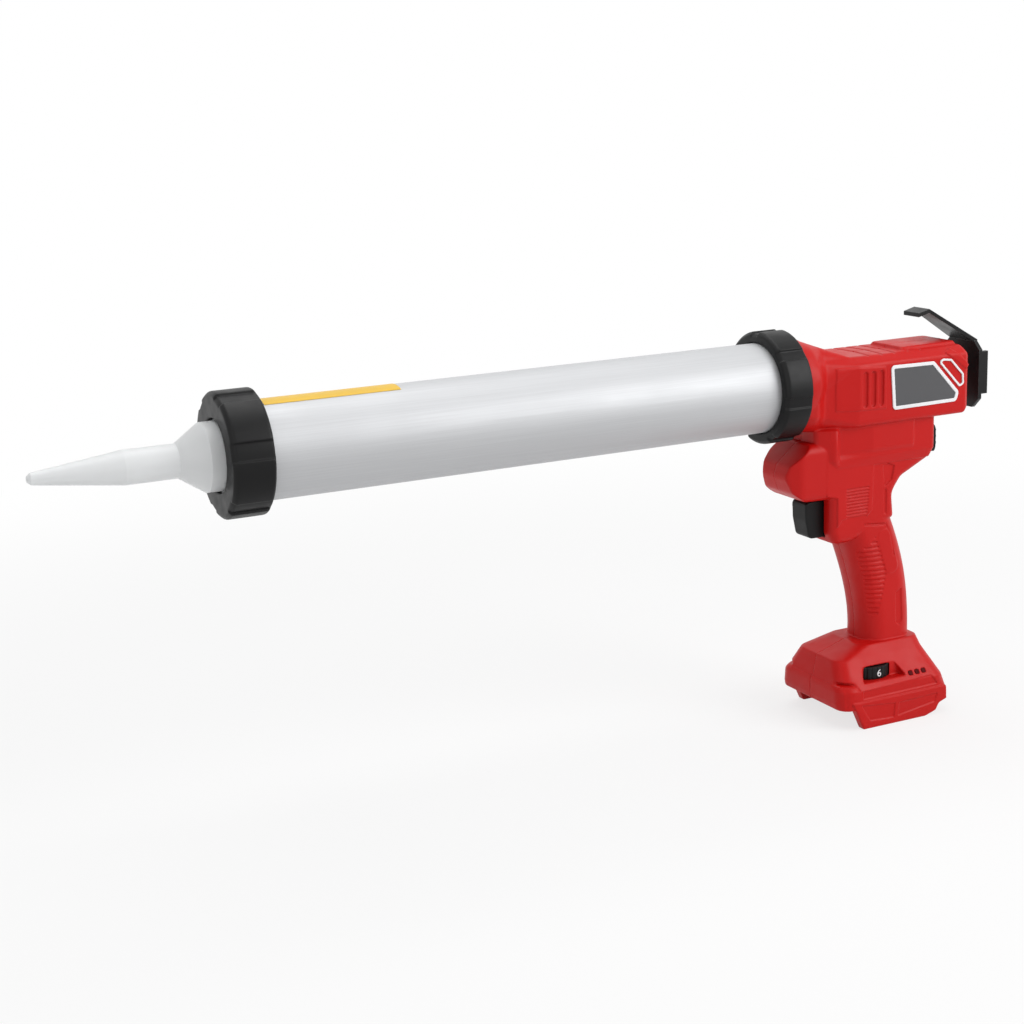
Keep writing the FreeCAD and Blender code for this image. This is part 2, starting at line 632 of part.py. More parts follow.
def foot_side_y(z):
    """Half-width of the foot's sloping side at a height."""
    share = (FOOT_TOP_Z - z) / FOOT_SLOPE
    return FOOT_TOP_HALF_WIDTH + share * (FOOT_HALF_WIDTH - FOOT_TOP_HALF_WIDTH)


def top_deck():
    """Raised panel on top of the gear body."""
    low = BODY_TOP_Z - WALL / 2
    high = BODY_TOP_Z + DECK_RISE
    rear = BODY_REAR_X - REAR_BEVEL
    sections = [section_z(low, DECK_FRONT_X, rear, DECK_HALF_WIDTH - 1, 3),
                section_z(high, DECK_FRONT_X + DECK_RISE, rear - 1, DECK_HALF_WIDTH - 3, 3)]
    return Part.makeLoft(sections, True, True)


def top_grooves():
    """Shallow grooves across the top, each running forward from the middle to both shoulders."""
    side = BODY_HALF_WIDTH
    cuts = []
    for k in range(TOP_GROOVES):
        x = TOP_GROOVE_FIRST_X + k * TOP_GROOVE_PITCH
        ahead = x - TOP_GROOVE_LEAN
        plan = [(x, 0), (ahead, -side), (ahead + TOP_GROOVE_WIDTH, -side), (x + TOP_GROOVE_WIDTH, 0),
                (ahead + TOP_GROOVE_WIDTH, side), (ahead, side)]
        points = [Vector(px, py, BODY_TOP_Z - RELIEF) for px, py in plan]
        cuts.append(Part.Face(Part.makePolygon(points + points[:1])).extrude(Vector(0, 0, DECK_RISE)))
    return cuts


def side_relief():
    """Raised vent panels and shoulder bars that follow the gear body's own sides."""
    grown = upper_body(-PANEL_RISE)
    forms = []
    for outline in (VENT_PAD_OUTLINE, BAR_OUTLINE):
        for prism in side_prisms(outline, DECK_HALF_WIDTH, BODY_HALF_WIDTH + 5):
            forms.append(prism.common(grown))
    return forms


def vent_slots():
    """Blind louvre slots with cut corners in the vent panels."""
    half = VENT_WIDTH / 2
    top = VENT_MID_Z + VENT_HEIGHT / 2
    low = VENT_MID_Z - VENT_HEIGHT / 2
    cut = VENT_WIDTH / 3
    floor = BODY_HALF_WIDTH + PANEL_RISE - VENT_DEPTH
    cuts = []
    for k in range(VENT_COUNT):
        x = VENT_FIRST_X + k * VENT_PITCH
        outline = [(x - half, low + cut), (x - half + cut, low), (x + half - cut, low), (x + half, low + cut),
                   (x + half, top - cut), (x + half - cut, top), (x - half + cut, top), (x - half, top - cut)]
        cuts += side_prisms(outline, floor, BODY_HALF_WIDTH + 5)
    return cuts


def grip_cuts():
    """Thumb ribs, palm recess with its slot, backstrap line and rear slots on both sides of the grip."""
    panel = GRIP_HALF_WIDTH + PANEL_RISE
    cuts = []
    for k in range(THUMB_RIB_COUNT):
        z = TRIGGER_TOP_Z + 7.5 - k * THUMB_RIB_PITCH
        outline = [(THUMB_RIB_FRONT_X, z), (THUMB_RIB_REAR_X - 0.15 * k, z),
                   (THUMB_RIB_REAR_X - 0.15 * k, z - THUMB_RIB_GAP), (THUMB_RIB_FRONT_X, z - THUMB_RIB_GAP)]
        cuts += side_prisms(outline, panel - RELIEF, panel + 2)
    top = MID_BOTTOM_Z - MID_TAPER - 0.5
    recess = [(SADDLE_X - 8.7, top - 1.5), (SADDLE_X - 5, top), (SADDLE_X, top - 2),
              (SADDLE_X - 1.8, top - 11), (SADDLE_X - 7.3, top - 14.5)]
    slot = [(SADDLE_X - 7.7, top - 16), (SADDLE_X - 6, top - 16), (SADDLE_X - 5.8, top - 32.5),
            (SADDLE_X - 7.5, top - 32)]
    low = TRIGGER_BOTTOM_Z
    path = [(68.0, low + 6.4), (SADDLE_X - 6, low + 4.8), (SADDLE_X - 2, low - 2), (SADDLE_X + 1, low - 17)]
    line = strip(path, RIB_GAP)
    cuts += side_prisms(recess, GRIP_HALF_WIDTH - 1.5 * RELIEF, panel + 2)
    cuts += side_prisms(slot, GRIP_HALF_WIDTH - RELIEF, panel + 2)
    cuts += side_prisms(line, GRIP_HALF_WIDTH - 1.2 * RELIEF, panel + 2)
    rear = HANDLE_STATIONS[-1][2]
    top = HANDLE_BOTTOM_Z + 38
    rear_slot = [(rear - 16, top - 2.5), (rear - 11.5, top), (rear - 10.5, top - 22), (rear - 13, top - 24.5),
                 (rear - 15.5, top - 22.5)]
    cuts += side_prisms(rear_slot, HANDLE_HALF_WIDTH - 1.5 * RELIEF, panel + 2)
    return cuts


def foot_cuts():
    """Sunk side panels and the step of the parting line on both sides of the foot, and the skirts' panels."""
    core = foot(RELIEF)
    edge = FOOT_EDGE_Z
    front = FOOT_FRONT_X
    rear = FOOT_REAR_X
    panel = [(front + 15, edge - 0.5), (rear - 16, edge + 1.2), (rear - 11.5, edge - 5),
             (front + 15, edge - 5.5)]
    step = strip([(front - 3, edge + 4.8), (front + 9.6, edge + 4), (front + 13, edge)], RIB_GAP)
    cuts = []
    for outline in (panel, step):
        cuts += [prism.cut(core) for prism in side_prisms(outline, FOOT_TOP_HALF_WIDTH, FOOT_HALF_WIDTH + 2)]
    floor = FOOT_FLOOR_Z
    outer = FOOT_HALF_WIDTH + SKIRT_STEP
    first = [(front + 13, floor + 3), (front + 39, floor + 0.4), (front + 38, floor - 9),
             (front + 20, floor - 8)]
    second = [(front + 42, floor), (rear - 12, floor + 1), (rear - 14, floor - 4.5),
              (front + 41, floor - 8.5)]
    for outline in (first, second):
        cuts += side_prisms(outline, outer - RELIEF, outer + 2)
    return cuts


def skirts():
    """Side skirts below the foot with the inward rails that carry the battery."""
    front = FOOT_FRONT_X + 15
    rear = FOOT_REAR_X - 11
    outline = [(front - 8, FOOT_FLOOR_Z + 5), (rear + 6, FOOT_FLOOR_Z + 5), (rear + 6.5, FOOT_FLOOR_Z - 4),
               (rear + 0.5, FOOT_FLOOR_Z - 6), (rear - 2, FOOT_BOTTOM_Z + 2.5), (rear - 10, FOOT_BOTTOM_Z),
               (front, FOOT_BOTTOM_Z)]
    outer = FOOT_HALF_WIDTH + SKIRT_STEP
    inner = outer - SKIRT_THICKNESS
    rail = [(front + 8, FOOT_BOTTOM_Z), (rear - 12, FOOT_BOTTOM_Z), (rear - 12, FOOT_BOTTOM_Z + RAIL_HEIGHT),
            (front + 8, FOOT_BOTTOM_Z + RAIL_HEIGHT)]
    return side_prisms(outline, inner, outer) + side_prisms(rail, inner - RAIL_WIDTH, inner + 1)


def screw_bosses(outside):
    posts = [prism_y(8, BOSS_RADIUS, -half, half, x, z) for x, z, half in SCREW_PLACES]
    return [post.common(outside) for post in posts]


def motor_cradle():
    """Two ribs in the nose that hold the motor."""
    ribs = []
    for x in (MOTOR_FRONT_X + 5, MOTOR_FRONT_X + MOTOR_LENGTH - 7):
        rib = box(x, x + 2, -NOSE_HALF_WIDTH, NOSE_HALF_WIDTH, NOSE_BOTTOM_Z, NOSE_TOP_Z)
        ribs.append(rib.cut(rod_x(MOTOR_RADIUS + SEAT_GAP, x, x + 2, 0, MOTOR_Z)))
    return ribs


def switch_box(gap=0.0):
    x0 = TRIGGER_REAR_X + TRIGGER_TRAVEL + RUN_GAP
    return box(x0 - gap, x0 + SWITCH_LENGTH + gap, -SWITCH_HALF_WIDTH - gap, SWITCH_HALF_WIDTH + gap,
               TRIGGER_BOTTOM_Z - gap, TRIGGER_TOP_Z + gap)


def switch_cradle():
    """Two ribs in the grip that hold the switch."""
    pocket = switch_box(SEAT_GAP)
    ribs = []
    for x in (pocket.BoundBox.XMin + 4, pocket.BoundBox.XMax - 6):
        rib = box(x, x + 2, -GRIP_HALF_WIDTH, GRIP_HALF_WIDTH, TRIGGER_BOTTOM_Z - 3, TRIGGER_TOP_Z + 3)
        ribs.append(rib.cut(pocket))
    return ribs


def rear_guide_box(gap=0.0):
    rear = BODY_REAR_X - WALL
    half = ROD_SIZE / 2 + 4 + gap
    return box(rear - 10 - gap, rear, -half, half, -half, half)


def guide_cradle():
    """Ribs behind the gears that hold the rear rod guide."""
    pocket = rear_guide_box(SEAT_GAP)
    x = pocket.BoundBox.XMin + 3
    rib = box(x, x + 3, -BODY_HALF_WIDTH, BODY_HALF_WIDTH, BODY_BOTTOM_Z, BODY_TOP_Z)
    return [rib.cut(pocket)]


def lever_ears():
    """Ears inside the rear wall that carry the lever's pin."""
    outline = [(LEVER_PIN_X - 4, LEVER_PIN_Z - 4), (MID_REAR_X - WALL / 2, LEVER_PIN_Z - 4),
               (MID_REAR_X - WALL / 2, LEVER_PIN_Z + 4), (LEVER_PIN_X - 4, LEVER_PIN_Z + 4)]
    return side_prisms(outline, LEVER_HALF_WIDTH + RUN_GAP, MID_BASE_HALF_WIDTH)


def housing_cuts():
    """Everything that opens the housing's walls."""
    cuts = [rod_x(SPIGOT_SLEEVE_RADIUS + SEAT_GAP, HOUSING_FRONT_X - 1, HOUSING_FRONT_X + SPIGOT_SLEEVE)]
    hole = ROD_SIZE / 2 + 2 * RUN_GAP
    cuts.append(box(BODY_REAR_X - 2 * WALL, BODY_REAR_X + 1, -hole, hole, -hole, hole))
    slot = TRIGGER_HALF_WIDTH + RUN_GAP
    cuts.append(box(TRIGGER_REAR_X - 12, TRIGGER_REAR_X + TRIGGER_TRAVEL + RUN_GAP, -slot, slot,
                    TRIGGER_BOTTOM_Z - RUN_GAP, TRIGGER_TOP_Z + RUN_GAP))
    slot = LEVER_HALF_WIDTH + RUN_GAP
    cuts.append(box(LEVER_PIN_X - 6, MID_REAR_X + 1, -slot, slot, LEVER_BOTTOM_Z - 1.2, LEVER_TOP_Z + 1))
    half = MID_HALF_WIDTH - WALL
    cuts.append(rod_y(LEVER_PIN_RADIUS + SEAT_GAP, -half, half, LEVER_PIN_X, LEVER_PIN_Z))
    cuts += dial_cuts()
    cuts += led_solids(SEAT_GAP)
    gap = SEAT_GAP
    cuts.append(box(BLOCK_FRONT_X - gap, BLOCK_FRONT_X + BLOCK_LENGTH + gap, -BLOCK_HALF_WIDTH - gap,
                    BLOCK_HALF_WIDTH + gap, FOOT_FLOOR_Z - 1, FOOT_FLOOR_Z + WALL + 1))
    for x, z, half in SCREW_PLACES:
        cuts.append(prism_y(6, SCREW_RADIUS + SEAT_GAP, -SCREW_REACH - 1, half, x, z))
        cuts.append(prism_y(12, SCREW_HEAD_RADIUS + RUN_GAP, half - SCREW_SINK, half + 5, x, z))
    return cuts


def dial_outline(grow=0.0):
    """Side view of the recess round the dial, or of the wall that stands round it."""
    high = DIAL_BOTTOM_Z + DIAL_HEIGHT + 6 + grow
    half = DIAL_RADIUS * 0.65 + grow
    ledge = DIAL_BOTTOM_Z - RUN_GAP - grow
    return [(DIAL_X - half - 4.5, ledge), (DIAL_X + half + 9.5, ledge), (DIAL_X + half + 1, high),
            (DIAL_X - half, high)]


def dial_wall():
    """Wall behind and round the recess of the dial."""
    return polygon_xz(dial_outline(WALL), -FOOT_HALF_WIDTH, DIAL_FACE_Y + WALL)


def dial_cuts():
    """Flat faced recess in the foot's left side, with the slot that the dial comes through."""
    top = DIAL_BOTTOM_Z + DIAL_HEIGHT
    half = DIAL_RADIUS * 0.65
    ledge = DIAL_BOTTOM_Z - RUN_GAP
    recess = polygon_xz(dial_outline(), -FOOT_HALF_WIDTH - 1, DIAL_FACE_Y)
    slot = box(DIAL_X - half, DIAL_X + half, DIAL_FACE_Y - 1, DIAL_FACE_Y + 2 * WALL, ledge, top + RUN_GAP)
    room = rod_z(DIAL_RADIUS + 2 * RUN_GAP, ledge, top + RUN_GAP, DIAL_X, DIAL_Y)
    return [recess, slot, room]


def led_solids(gap=0.0):
    """Small square windows set in the sloping side of the foot, or their holes with a gap round them."""
    slope = math.degrees(math.atan2(FOOT_HALF_WIDTH - FOOT_TOP_HALF_WIDTH, FOOT_SLOPE))
    windows = []
    for k in range(LED_COUNT):
        x = LED_FIRST_X + k * LED_PITCH
        y = -foot_side_y(LED_Z)
        half = LED_SIZE / 2 + gap
        window = box(x - half, x + half, y - gap, y + 2 * WALL, LED_Z - half, LED_Z + half)
        window.rotate(Vector(x, y, LED_Z), Vector(1, 0, 0), -slope)
        windows.append(window)
    return windows


def housing_halves():
    body = upper_body(0).cut(Part.makeCompound(top_grooves()))
    outer = fuse_all([body, nose(), mid_section(0), grip_top(), handle(0), foot(0), top_deck()])
    outer = outer.multiFuse(side_relief() + mid_panels() + grip_panels() + palm_ovals())
    hollow = fuse_all([upper_body(WALL), nose_hollow(), mid_section(WALL), grip_hollow(),
                       switch_box(SEAT_GAP), handle(WALL), foot(WALL)])
    shell = outer.cut(hollow)
    inside = fuse_all(screw_bosses(outer))
    ribs = motor_cradle() + switch_cradle() + guide_cradle() + lever_ears() + [dial_wall()]
    ribs = [rib.common(outer) for rib in ribs]
    shell = shell.multiFuse([inside] + ribs + skirts())
    for cut in housing_cuts():
        shell = shell.cut(cut)
    for cuts in (vent_slots(), grip_cuts(), handle_ribs(), foot_cuts()):
        shell = shell.cut(cuts)
    left = shell.common(box(-BIG, BIG, -BIG, 0, -BIG, BIG))
    right = shell.common(box(-BIG, BIG, 0, BIG, -BIG, BIG))
    return left, right


def gear(teeth, module, y0, y1, x, z, phase):
    """Spur gear about a Y axis; phase 0 points a tooth up, 0.5 points a gap up."""
    pitch = module * teeth / 2
    base = pitch * math.cos(PRESSURE)
    outer = pitch + module
    root = pitch - 1.2 * module
    half_tooth = (math.pi * module / 2 - BACKLASH / 2) / (2 * pitch) + math.tan(PRESSURE) - PRESSURE

    def flank(radius):
        turn = math.acos(min(1.0, base / radius))
        return half_tooth - math.tan(turn) + turn

    points = []
    for k in range(teeth):
        middle = (k + phase) * 2 * math.pi / teeth
        steps = [(root, -flank(base)), (outer, -flank(outer)), (outer, flank(outer)), (root, flank(base))]
        for radius, angle in steps:
            points.append((x + radius * math.sin(middle + angle), z + radius * math.cos(middle + angle)))
    return polygon_xz(points, y0, y1)


def ring_pads(count, pad_angle, phase, x0, x1):
    """Raised grip pads round a ring, with bevelled ends."""
    low = RING_RADIUS - PAD_RISE - 1.5
    bevel = RING_CHAMFER
    profile = [(x0, low), (x1, low), (x1, RING_RADIUS - bevel), (x1 - bevel / 2, RING_RADIUS),
               (x0 + bevel, RING_RADIUS), (x0, RING_RADIUS - bevel)]
    points = [Vector(x, 0, r) for x, r in profile]
    face = Part.Face(Part.makePolygon(points + points[:1]))
    pads = []
    for k in range(count):
        pad = face.copy()
        pad.rotate(Vector(0, 0, 0), Vector(1, 0, 0), phase - pad_angle / 2 + k * 360 / count)
        pads.append(pad.revolve(Vector(0, 0, 0), Vector(1, 0, 0), pad_angle))
    return pads


def grip_ring(x0, length, opening, pads):
    """Screw ring with a lip at its front end; the lip's hole is given by its radius."""
    x1 = x0 + length
    outer = RING_RADIUS - PAD_RISE
    bore = THREAD_RADIUS + RUN_GAP
    seat = x0 + RING_LIP
    profile = [(x0, opening), (x0, outer - RING_CHAMFER), (x0 + RING_CHAMFER, outer), (x1, outer), (x1, bore),
               (seat, bore), (seat, opening)]
    return revolve_x(profile).multiFuse(pads)


def rear_collar():
    pads = ring_pads(COLLAR_PADS, COLLAR_PAD_ANGLE, COLLAR_PAD_PHASE, 0.0, COLLAR_LENGTH)
    return grip_ring(0.0, COLLAR_LENGTH, TUBE_RADIUS + RUN_GAP, pads)


def front_cap():
    pads = ring_pads(CAP_PADS, CAP_PAD_ANGLE, CAP_PAD_PHASE, CAP_FRONT_X, CAP_FRONT_X + CAP_LENGTH)
    return grip_ring(CAP_FRONT_X, CAP_LENGTH, CAP_OPENING, pads)


def barrel_tube():
    rim = tube_x(TUBE_RADIUS + BEAD_HEIGHT, TUBE_BORE, TUBE_REAR_X - BEAD_THICKNESS, TUBE_REAR_X)
    return tube_x(TUBE_RADIUS, TUBE_BORE, TUBE_FRONT_X, TUBE_REAR_X).fuse(rim)


def barrel_thread_ring():
    return tube_x(THREAD_RADIUS, TUBE_RADIUS + SEAT_GAP, TUBE_FRONT_X, TUBE_FRONT_X + THREAD_RING_LENGTH)


def barrel_label():
    x0 = CAP_FRONT_X + CAP_LENGTH + LABEL_SETBACK
    low = TUBE_RADIUS + SEAT_GAP / 2
    high = low + LABEL_THICKNESS
    x1 = x0 + LABEL_LENGTH
    points = [Vector(x, 0, r) for x, r in ((x0, low), (x1, low), (x1, high), (x0, high))]
    face = Part.Face(Part.makePolygon(points + points[:1]))
    face.rotate(Vector(0, 0, 0), Vector(1, 0, 0), -LABEL_HALF_ANGLE)
    return face.revolve(Vector(0, 0, 0), Vector(1, 0, 0), 2 * LABEL_HALF_ANGLE)


def nozzle():
    """Uncut nozzle: flange, base, flare, stem and long taper to a closed round tip."""
    seat = NOZZLE_SEAT_X
    face = seat - NOZZLE_FLANGE
    base = face - NOZZLE_BASE_LENGTH
    flare = base - NOZZLE_FLARE_LENGTH
    stem = flare - NOZZLE_STEM_LENGTH
    tip = stem - NOZZLE_TAPER_LENGTH
    wall = NOZZLE_WALL
    outside = [(seat, NOZZLE_FLANGE_RADIUS), (face, NOZZLE_FLANGE_RADIUS), (face, NOZZLE_BASE_RADIUS),
               (base, NOZZLE_BASE_RADIUS), (flare, NOZZLE_STEM_RADIUS), (stem, NOZZLE_STEM_RADIUS),
               (tip + 0.6 * NOZZLE_TIP_RADIUS, NOZZLE_TIP_RADIUS), (tip, 0.5 * NOZZLE_TIP_RADIUS), (tip, 0)]
    inside = [(tip + NOZZLE_TIP_RADIUS, 0), (tip + NOZZLE_TIP_RADIUS, NOZZLE_TIP_RADIUS - wall),
              (stem, NOZZLE_STEM_RADIUS - wall), (flare, NOZZLE_STEM_RADIUS - wall),
              (base, NOZZLE_BASE_RADIUS - wall), (seat, NOZZLE_BASE_RADIUS - wall)]
    return revolve_x(outside + inside)


def spigot():
    """Threaded ring for the collar; its disc guides the rod and its sleeve sits in the neck."""
    front = TUBE_REAR_X + RUN_GAP
    ring = tube_x(THREAD_RADIUS, TUBE_BORE + 1, front, HOUSING_FRONT_X)
    disc = rod_x(THREAD_RADIUS - 1, HOUSING_FRONT_X - 4, HOUSING_FRONT_X)
    sleeve = tube_x(SPIGOT_SLEEVE_RADIUS, SPIGOT_SLEEVE_RADIUS - 3, HOUSING_FRONT_X - 1,
                    HOUSING_FRONT_X + SPIGOT_SLEEVE)
    hole = ROD_SIZE / 2 + RUN_GAP
    way = box(front, HOUSING_FRONT_X + 1, -hole, hole, -hole, hole)
    return ring.multiFuse([disc, sleeve]).cut(way)


def rear_rod_guide():
    hole = ROD_SIZE / 2 + RUN_GAP
    return rear_guide_box().cut(box(0, BODY_REAR_X, -hole, hole, -hole, hole))


def rack_rod():
    """Square rod with rack teeth on its underside, tapped at both ends."""
    half = ROD_SIZE / 2
    root = RACK_LINE_Z + 1.2 * RACK_MODULE
    tip = RACK_LINE_Z - RACK_MODULE
    reach = math.sqrt((DRIVE_PITCH_RADIUS + RACK_MODULE) ** 2 - (DRIVE_PITCH_RADIUS - RACK_MODULE) ** 2)
    ahead = math.ceil((ROD_STROKE + reach) / RACK_PITCH)
    behind = math.ceil(reach / RACK_PITCH)
    wide = RACK_PITCH / 4 - BACKLASH / 4
    low = wide - (RACK_LINE_Z - tip) * math.tan(PRESSURE)
    high = wide + (root - RACK_LINE_Z) * math.tan(PRESSURE)
    front = DRIVE_X - (ahead + 0.2) * RACK_PITCH
    rear = DRIVE_X + (behind + 0.2) * RACK_PITCH
    outline = [(PISTON_REAR_X, half), (PISTON_REAR_X, -half), (front, -half), (front, root)]
    for k in range(-ahead, behind):
        middle = DRIVE_X + (k + 0.5) * RACK_PITCH
        outline += [(middle - high, root), (middle - low, tip), (middle + low, tip), (middle + high, root)]
    outline += [(rear, root), (rear, -half), (HOOK_FRONT_X, -half), (HOOK_FRONT_X, half)]
    bar = polygon_xz(outline, -half, half)
    bar = bar.cut(rod_x(ROD_SCREW_RADIUS + SEAT_GAP, PISTON_REAR_X, PISTON_REAR_X + ROD_SCREW_DEPTH))
    return bar.cut(rod_x(ROD_SCREW_RADIUS + SEAT_GAP, HOOK_FRONT_X - ROD_SCREW_DEPTH, HOOK_FRONT_X))


def piston():
    mid = (PISTON_FRONT_X + PISTON_REAR_X) / 2
    profile = [(PISTON_FRONT_X, 0), (PISTON_FRONT_X, PISTON_RADIUS - 2), (PISTON_FRONT_X + 2, PISTON_RADIUS),
               (PISTON_REAR_X, PISTON_RADIUS), (PISTON_REAR_X, 0)]
    disc = revolve_x(profile)
    groove = tube_x(PISTON_RADIUS + 1, PISTON_RADIUS - SEAL_DEPTH, mid - SEAL_WIDTH / 2, mid + SEAL_WIDTH / 2)
    return disc.cut(groove).cut(rod_x(ROD_SCREW_RADIUS + SEAT_GAP, PISTON_FRONT_X, PISTON_REAR_X))


def piston_seal():
    mid = (PISTON_FRONT_X + PISTON_REAR_X) / 2
    half = SEAL_WIDTH / 2 - SEAT_GAP
    return tube_x(TUBE_BORE - RUN_GAP, PISTON_RADIUS - SEAL_DEPTH + SEAT_GAP, mid - half, mid + half)


def piston_screw():
    head = hexagon_x(ROD_SCREW_HEAD_RADIUS, PISTON_FRONT_X - ROD_SCREW_HEAD, PISTON_FRONT_X)
    return head.fuse(rod_x(ROD_SCREW_RADIUS, PISTON_FRONT_X - 1, PISTON_REAR_X + ROD_SCREW_DEPTH - 1))


def hook_plate():
    """Bent steel plate: chamfered back plate, two side flanges, and the arm with its hooked tab."""
    x0 = HOOK_FRONT_X
    x1 = x0 + HOOK_THICKNESS
    half = HOOK_HALF_WIDTH
    cut = HOOK_CHAMFER
    outline = [(-half, HOOK_BOTTOM_Z + cut), (-half + cut, HOOK_BOTTOM_Z), (half - cut, HOOK_BOTTOM_Z),
               (half, HOOK_BOTTOM_Z + cut), (half, HOOK_TOP_Z - cut), (half - cut, HOOK_TOP_Z),
               (-half + cut, HOOK_TOP_Z), (-half, HOOK_TOP_Z - cut)]
    points = [Vector(x0, y, z) for y, z in outline]
    plate = Part.Face(Part.makePolygon(points + points[:1])).extrude(Vector(HOOK_THICKNESS, 0, 0))
    plate = plate.cut(rod_x(ROD_SCREW_RADIUS + SEAT_GAP, x0, x1))
    flanges = []
    for side in (-1, 1):
        y0, y1 = sorted((side * half, side * (half - HOOK_THICKNESS)))
        flanges.append(box(x0, x1 + HOOK_FLANGE, y0, y1, HOOK_FLANGE_BOTTOM_Z, HOOK_FLANGE_TOP_Z))
    top = HOOK_TOP_Z + ARM_RISE
    knee = x0 - ARM_REACH
    tip = knee - TAB_LENGTH
    bend = [(x1, HOOK_TOP_Z - 3), (x1, HOOK_TOP_Z), (knee, top + HOOK_THICKNESS),
            (tip, top + HOOK_THICKNESS - TAB_DROP), (tip, top - TAB_DROP), (knee, top), (x0, HOOK_TOP_Z - 1),
            (x0, HOOK_TOP_Z - 3)]
    arm = polygon_xz(bend, -ARM_ROOT_HALF_WIDTH, ARM_ROOT_HALF_WIDTH)
    plan = [(x1, -ARM_ROOT_HALF_WIDTH), (x1, ARM_ROOT_HALF_WIDTH), (knee, ARM_TIP_HALF_WIDTH),
            (tip, ARM_TIP_HALF_WIDTH), (tip, -ARM_TIP_HALF_WIDTH), (knee, -ARM_TIP_HALF_WIDTH)]
    points = [Vector(x, y, HOOK_BOTTOM_Z) for x, y in plan]
    taper = Part.Face(Part.makePolygon(points + points[:1])).extrude(Vector(0, 0, BIG))
    return plate.multiFuse(flanges + [arm.common(taper)])


def hook_screw():
    x1 = HOOK_FRONT_X + HOOK_THICKNESS
    head = hexagon_x(ROD_SCREW_HEAD_RADIUS, x1, x1 + ROD_SCREW_HEAD)
    return head.fuse(rod_x(ROD_SCREW_RADIUS, HOOK_FRONT_X - ROD_SCREW_DEPTH + 1, x1 + 1))


def frame_plate(side):
    """Side plate of the gear frame; the right one carries the spacer posts."""
    x0 = DRIVE_X - FRAME_REACH
    x1 = DRIVE_X + FRAME_REACH
    y0, y1 = sorted((side * FRAME_INNER_Y, side * FRAME_OUTER_Y))
    plate = box(x0, x1, y0, y1, FRAME_BOTTOM_Z, FRAME_TOP_Z)
    plate = plate.cut(rod_y(DRIVE_SHAFT_RADIUS + SHAFT_GAP, y0, y1, DRIVE_X, DRIVE_Z))
    if side < 0:
        return plate
    edge = POST_RADIUS + 0.2
    posts = []
    for x in (x0 + edge, x1 - edge):
        for z in (FRAME_BOTTOM_Z + edge + 3, FRAME_TOP_Z - edge):
            posts.append(prism_y(6, POST_RADIUS, -FRAME_INNER_Y, FRAME_INNER_Y + 1, x, z))
    return plate.multiFuse(posts)


def drive_shaft():
    return rod_y(DRIVE_SHAFT_RADIUS, -FRAME_OUTER_Y, FRAME_OUTER_Y, DRIVE_X, DRIVE_Z)


def drive_pinion():
    half = DRIVE_WIDTH / 2
    wheel = gear(DRIVE_TEETH, RACK_MODULE, -half, half, DRIVE_X, DRIVE_Z, 0)
    return wheel.cut(rod_y(DRIVE_SHAFT_RADIUS + SEAT_GAP, -half, half, DRIVE_X, DRIVE_Z))


def final_gear():
    y0 = FINAL_Y
    y1 = FINAL_Y + FINAL_WIDTH
    wheel = gear(FINAL_TEETH, GEAR_MODULE, y0, y1, DRIVE_X, DRIVE_Z, 0)
    hub = rod_y(DRIVE_SHAFT_RADIUS + 4, DRIVE_WIDTH / 2 + SEAT_GAP, y1, DRIVE_X, DRIVE_Z)
    return wheel.fuse(hub).cut(rod_y(DRIVE_SHAFT_RADIUS + SEAT_GAP, 0, BIG, DRIVE_X, DRIVE_Z))


def lay_pinion():
    y0 = FINAL_Y - 0.5
    wheel = gear(LAY_TEETH, GEAR_MODULE, y0, y0 + LAY_WIDTH, DRIVE_X, LAY_Z, 0.5)
    return wheel.cut(rod_y(LAY_SHAFT_RADIUS + SEAT_GAP, y0, y0 + LAY_WIDTH, DRIVE_X, LAY_Z))


def layshaft():
    return rod_y(LAY_SHAFT_RADIUS, GEARBOX_SIDE_Y - 10, FINAL_Y + LAY_WIDTH, DRIVE_X, LAY_Z)


def motor_can():
    return rod_x(MOTOR_RADIUS, MOTOR_FRONT_X, MOTOR_FRONT_X + MOTOR_LENGTH, 0, MOTOR_Z)


def motor_end_cap():
    return rod_x(MOTOR_RADIUS - 3, MOTOR_FRONT_X - MOTOR_CAP, MOTOR_FRONT_X, 0, MOTOR_Z)


def gearbox_case():
    """Closed reduction gearbox on the motor with a right angle head; the layshaft comes out of it."""
    x0 = MOTOR_FRONT_X + MOTOR_LENGTH
    x1 = x0 + GEARBOX_LENGTH
    half = GEARBOX_HEAD_HALF
    head = box(x1 - 1, DRIVE_X + GEARBOX_REAR, -MOTOR_RADIUS + 1, GEARBOX_SIDE_Y, LAY_Z - half,
               LAY_Z + half - 1)
    case = rod_x(MOTOR_RADIUS, x0, x1, 0, MOTOR_Z).fuse(head)
    return case.cut(rod_y(LAY_SHAFT_RADIUS + SHAFT_GAP, GEARBOX_SIDE_Y - 10.5, BIG, DRIVE_X, LAY_Z))


def trigger():
    """Trigger with a hollowed finger face."""
    x0 = TRIGGER_FRONT_X
    top = TRIGGER_TOP_Z
    low = TRIGGER_BOTTOM_Z
    outline = [(x0 + 1, top), (TRIGGER_REAR_X, top), (TRIGGER_REAR_X, low), (x0 + 4, low),
               (x0 + 1.5, (top + low) / 2)]
    return plate_xz(outline, [3, 1, 1, 3, 12], -TRIGGER_HALF_WIDTH, TRIGGER_HALF_WIDTH)


def trigger_switch():
    return switch_box()


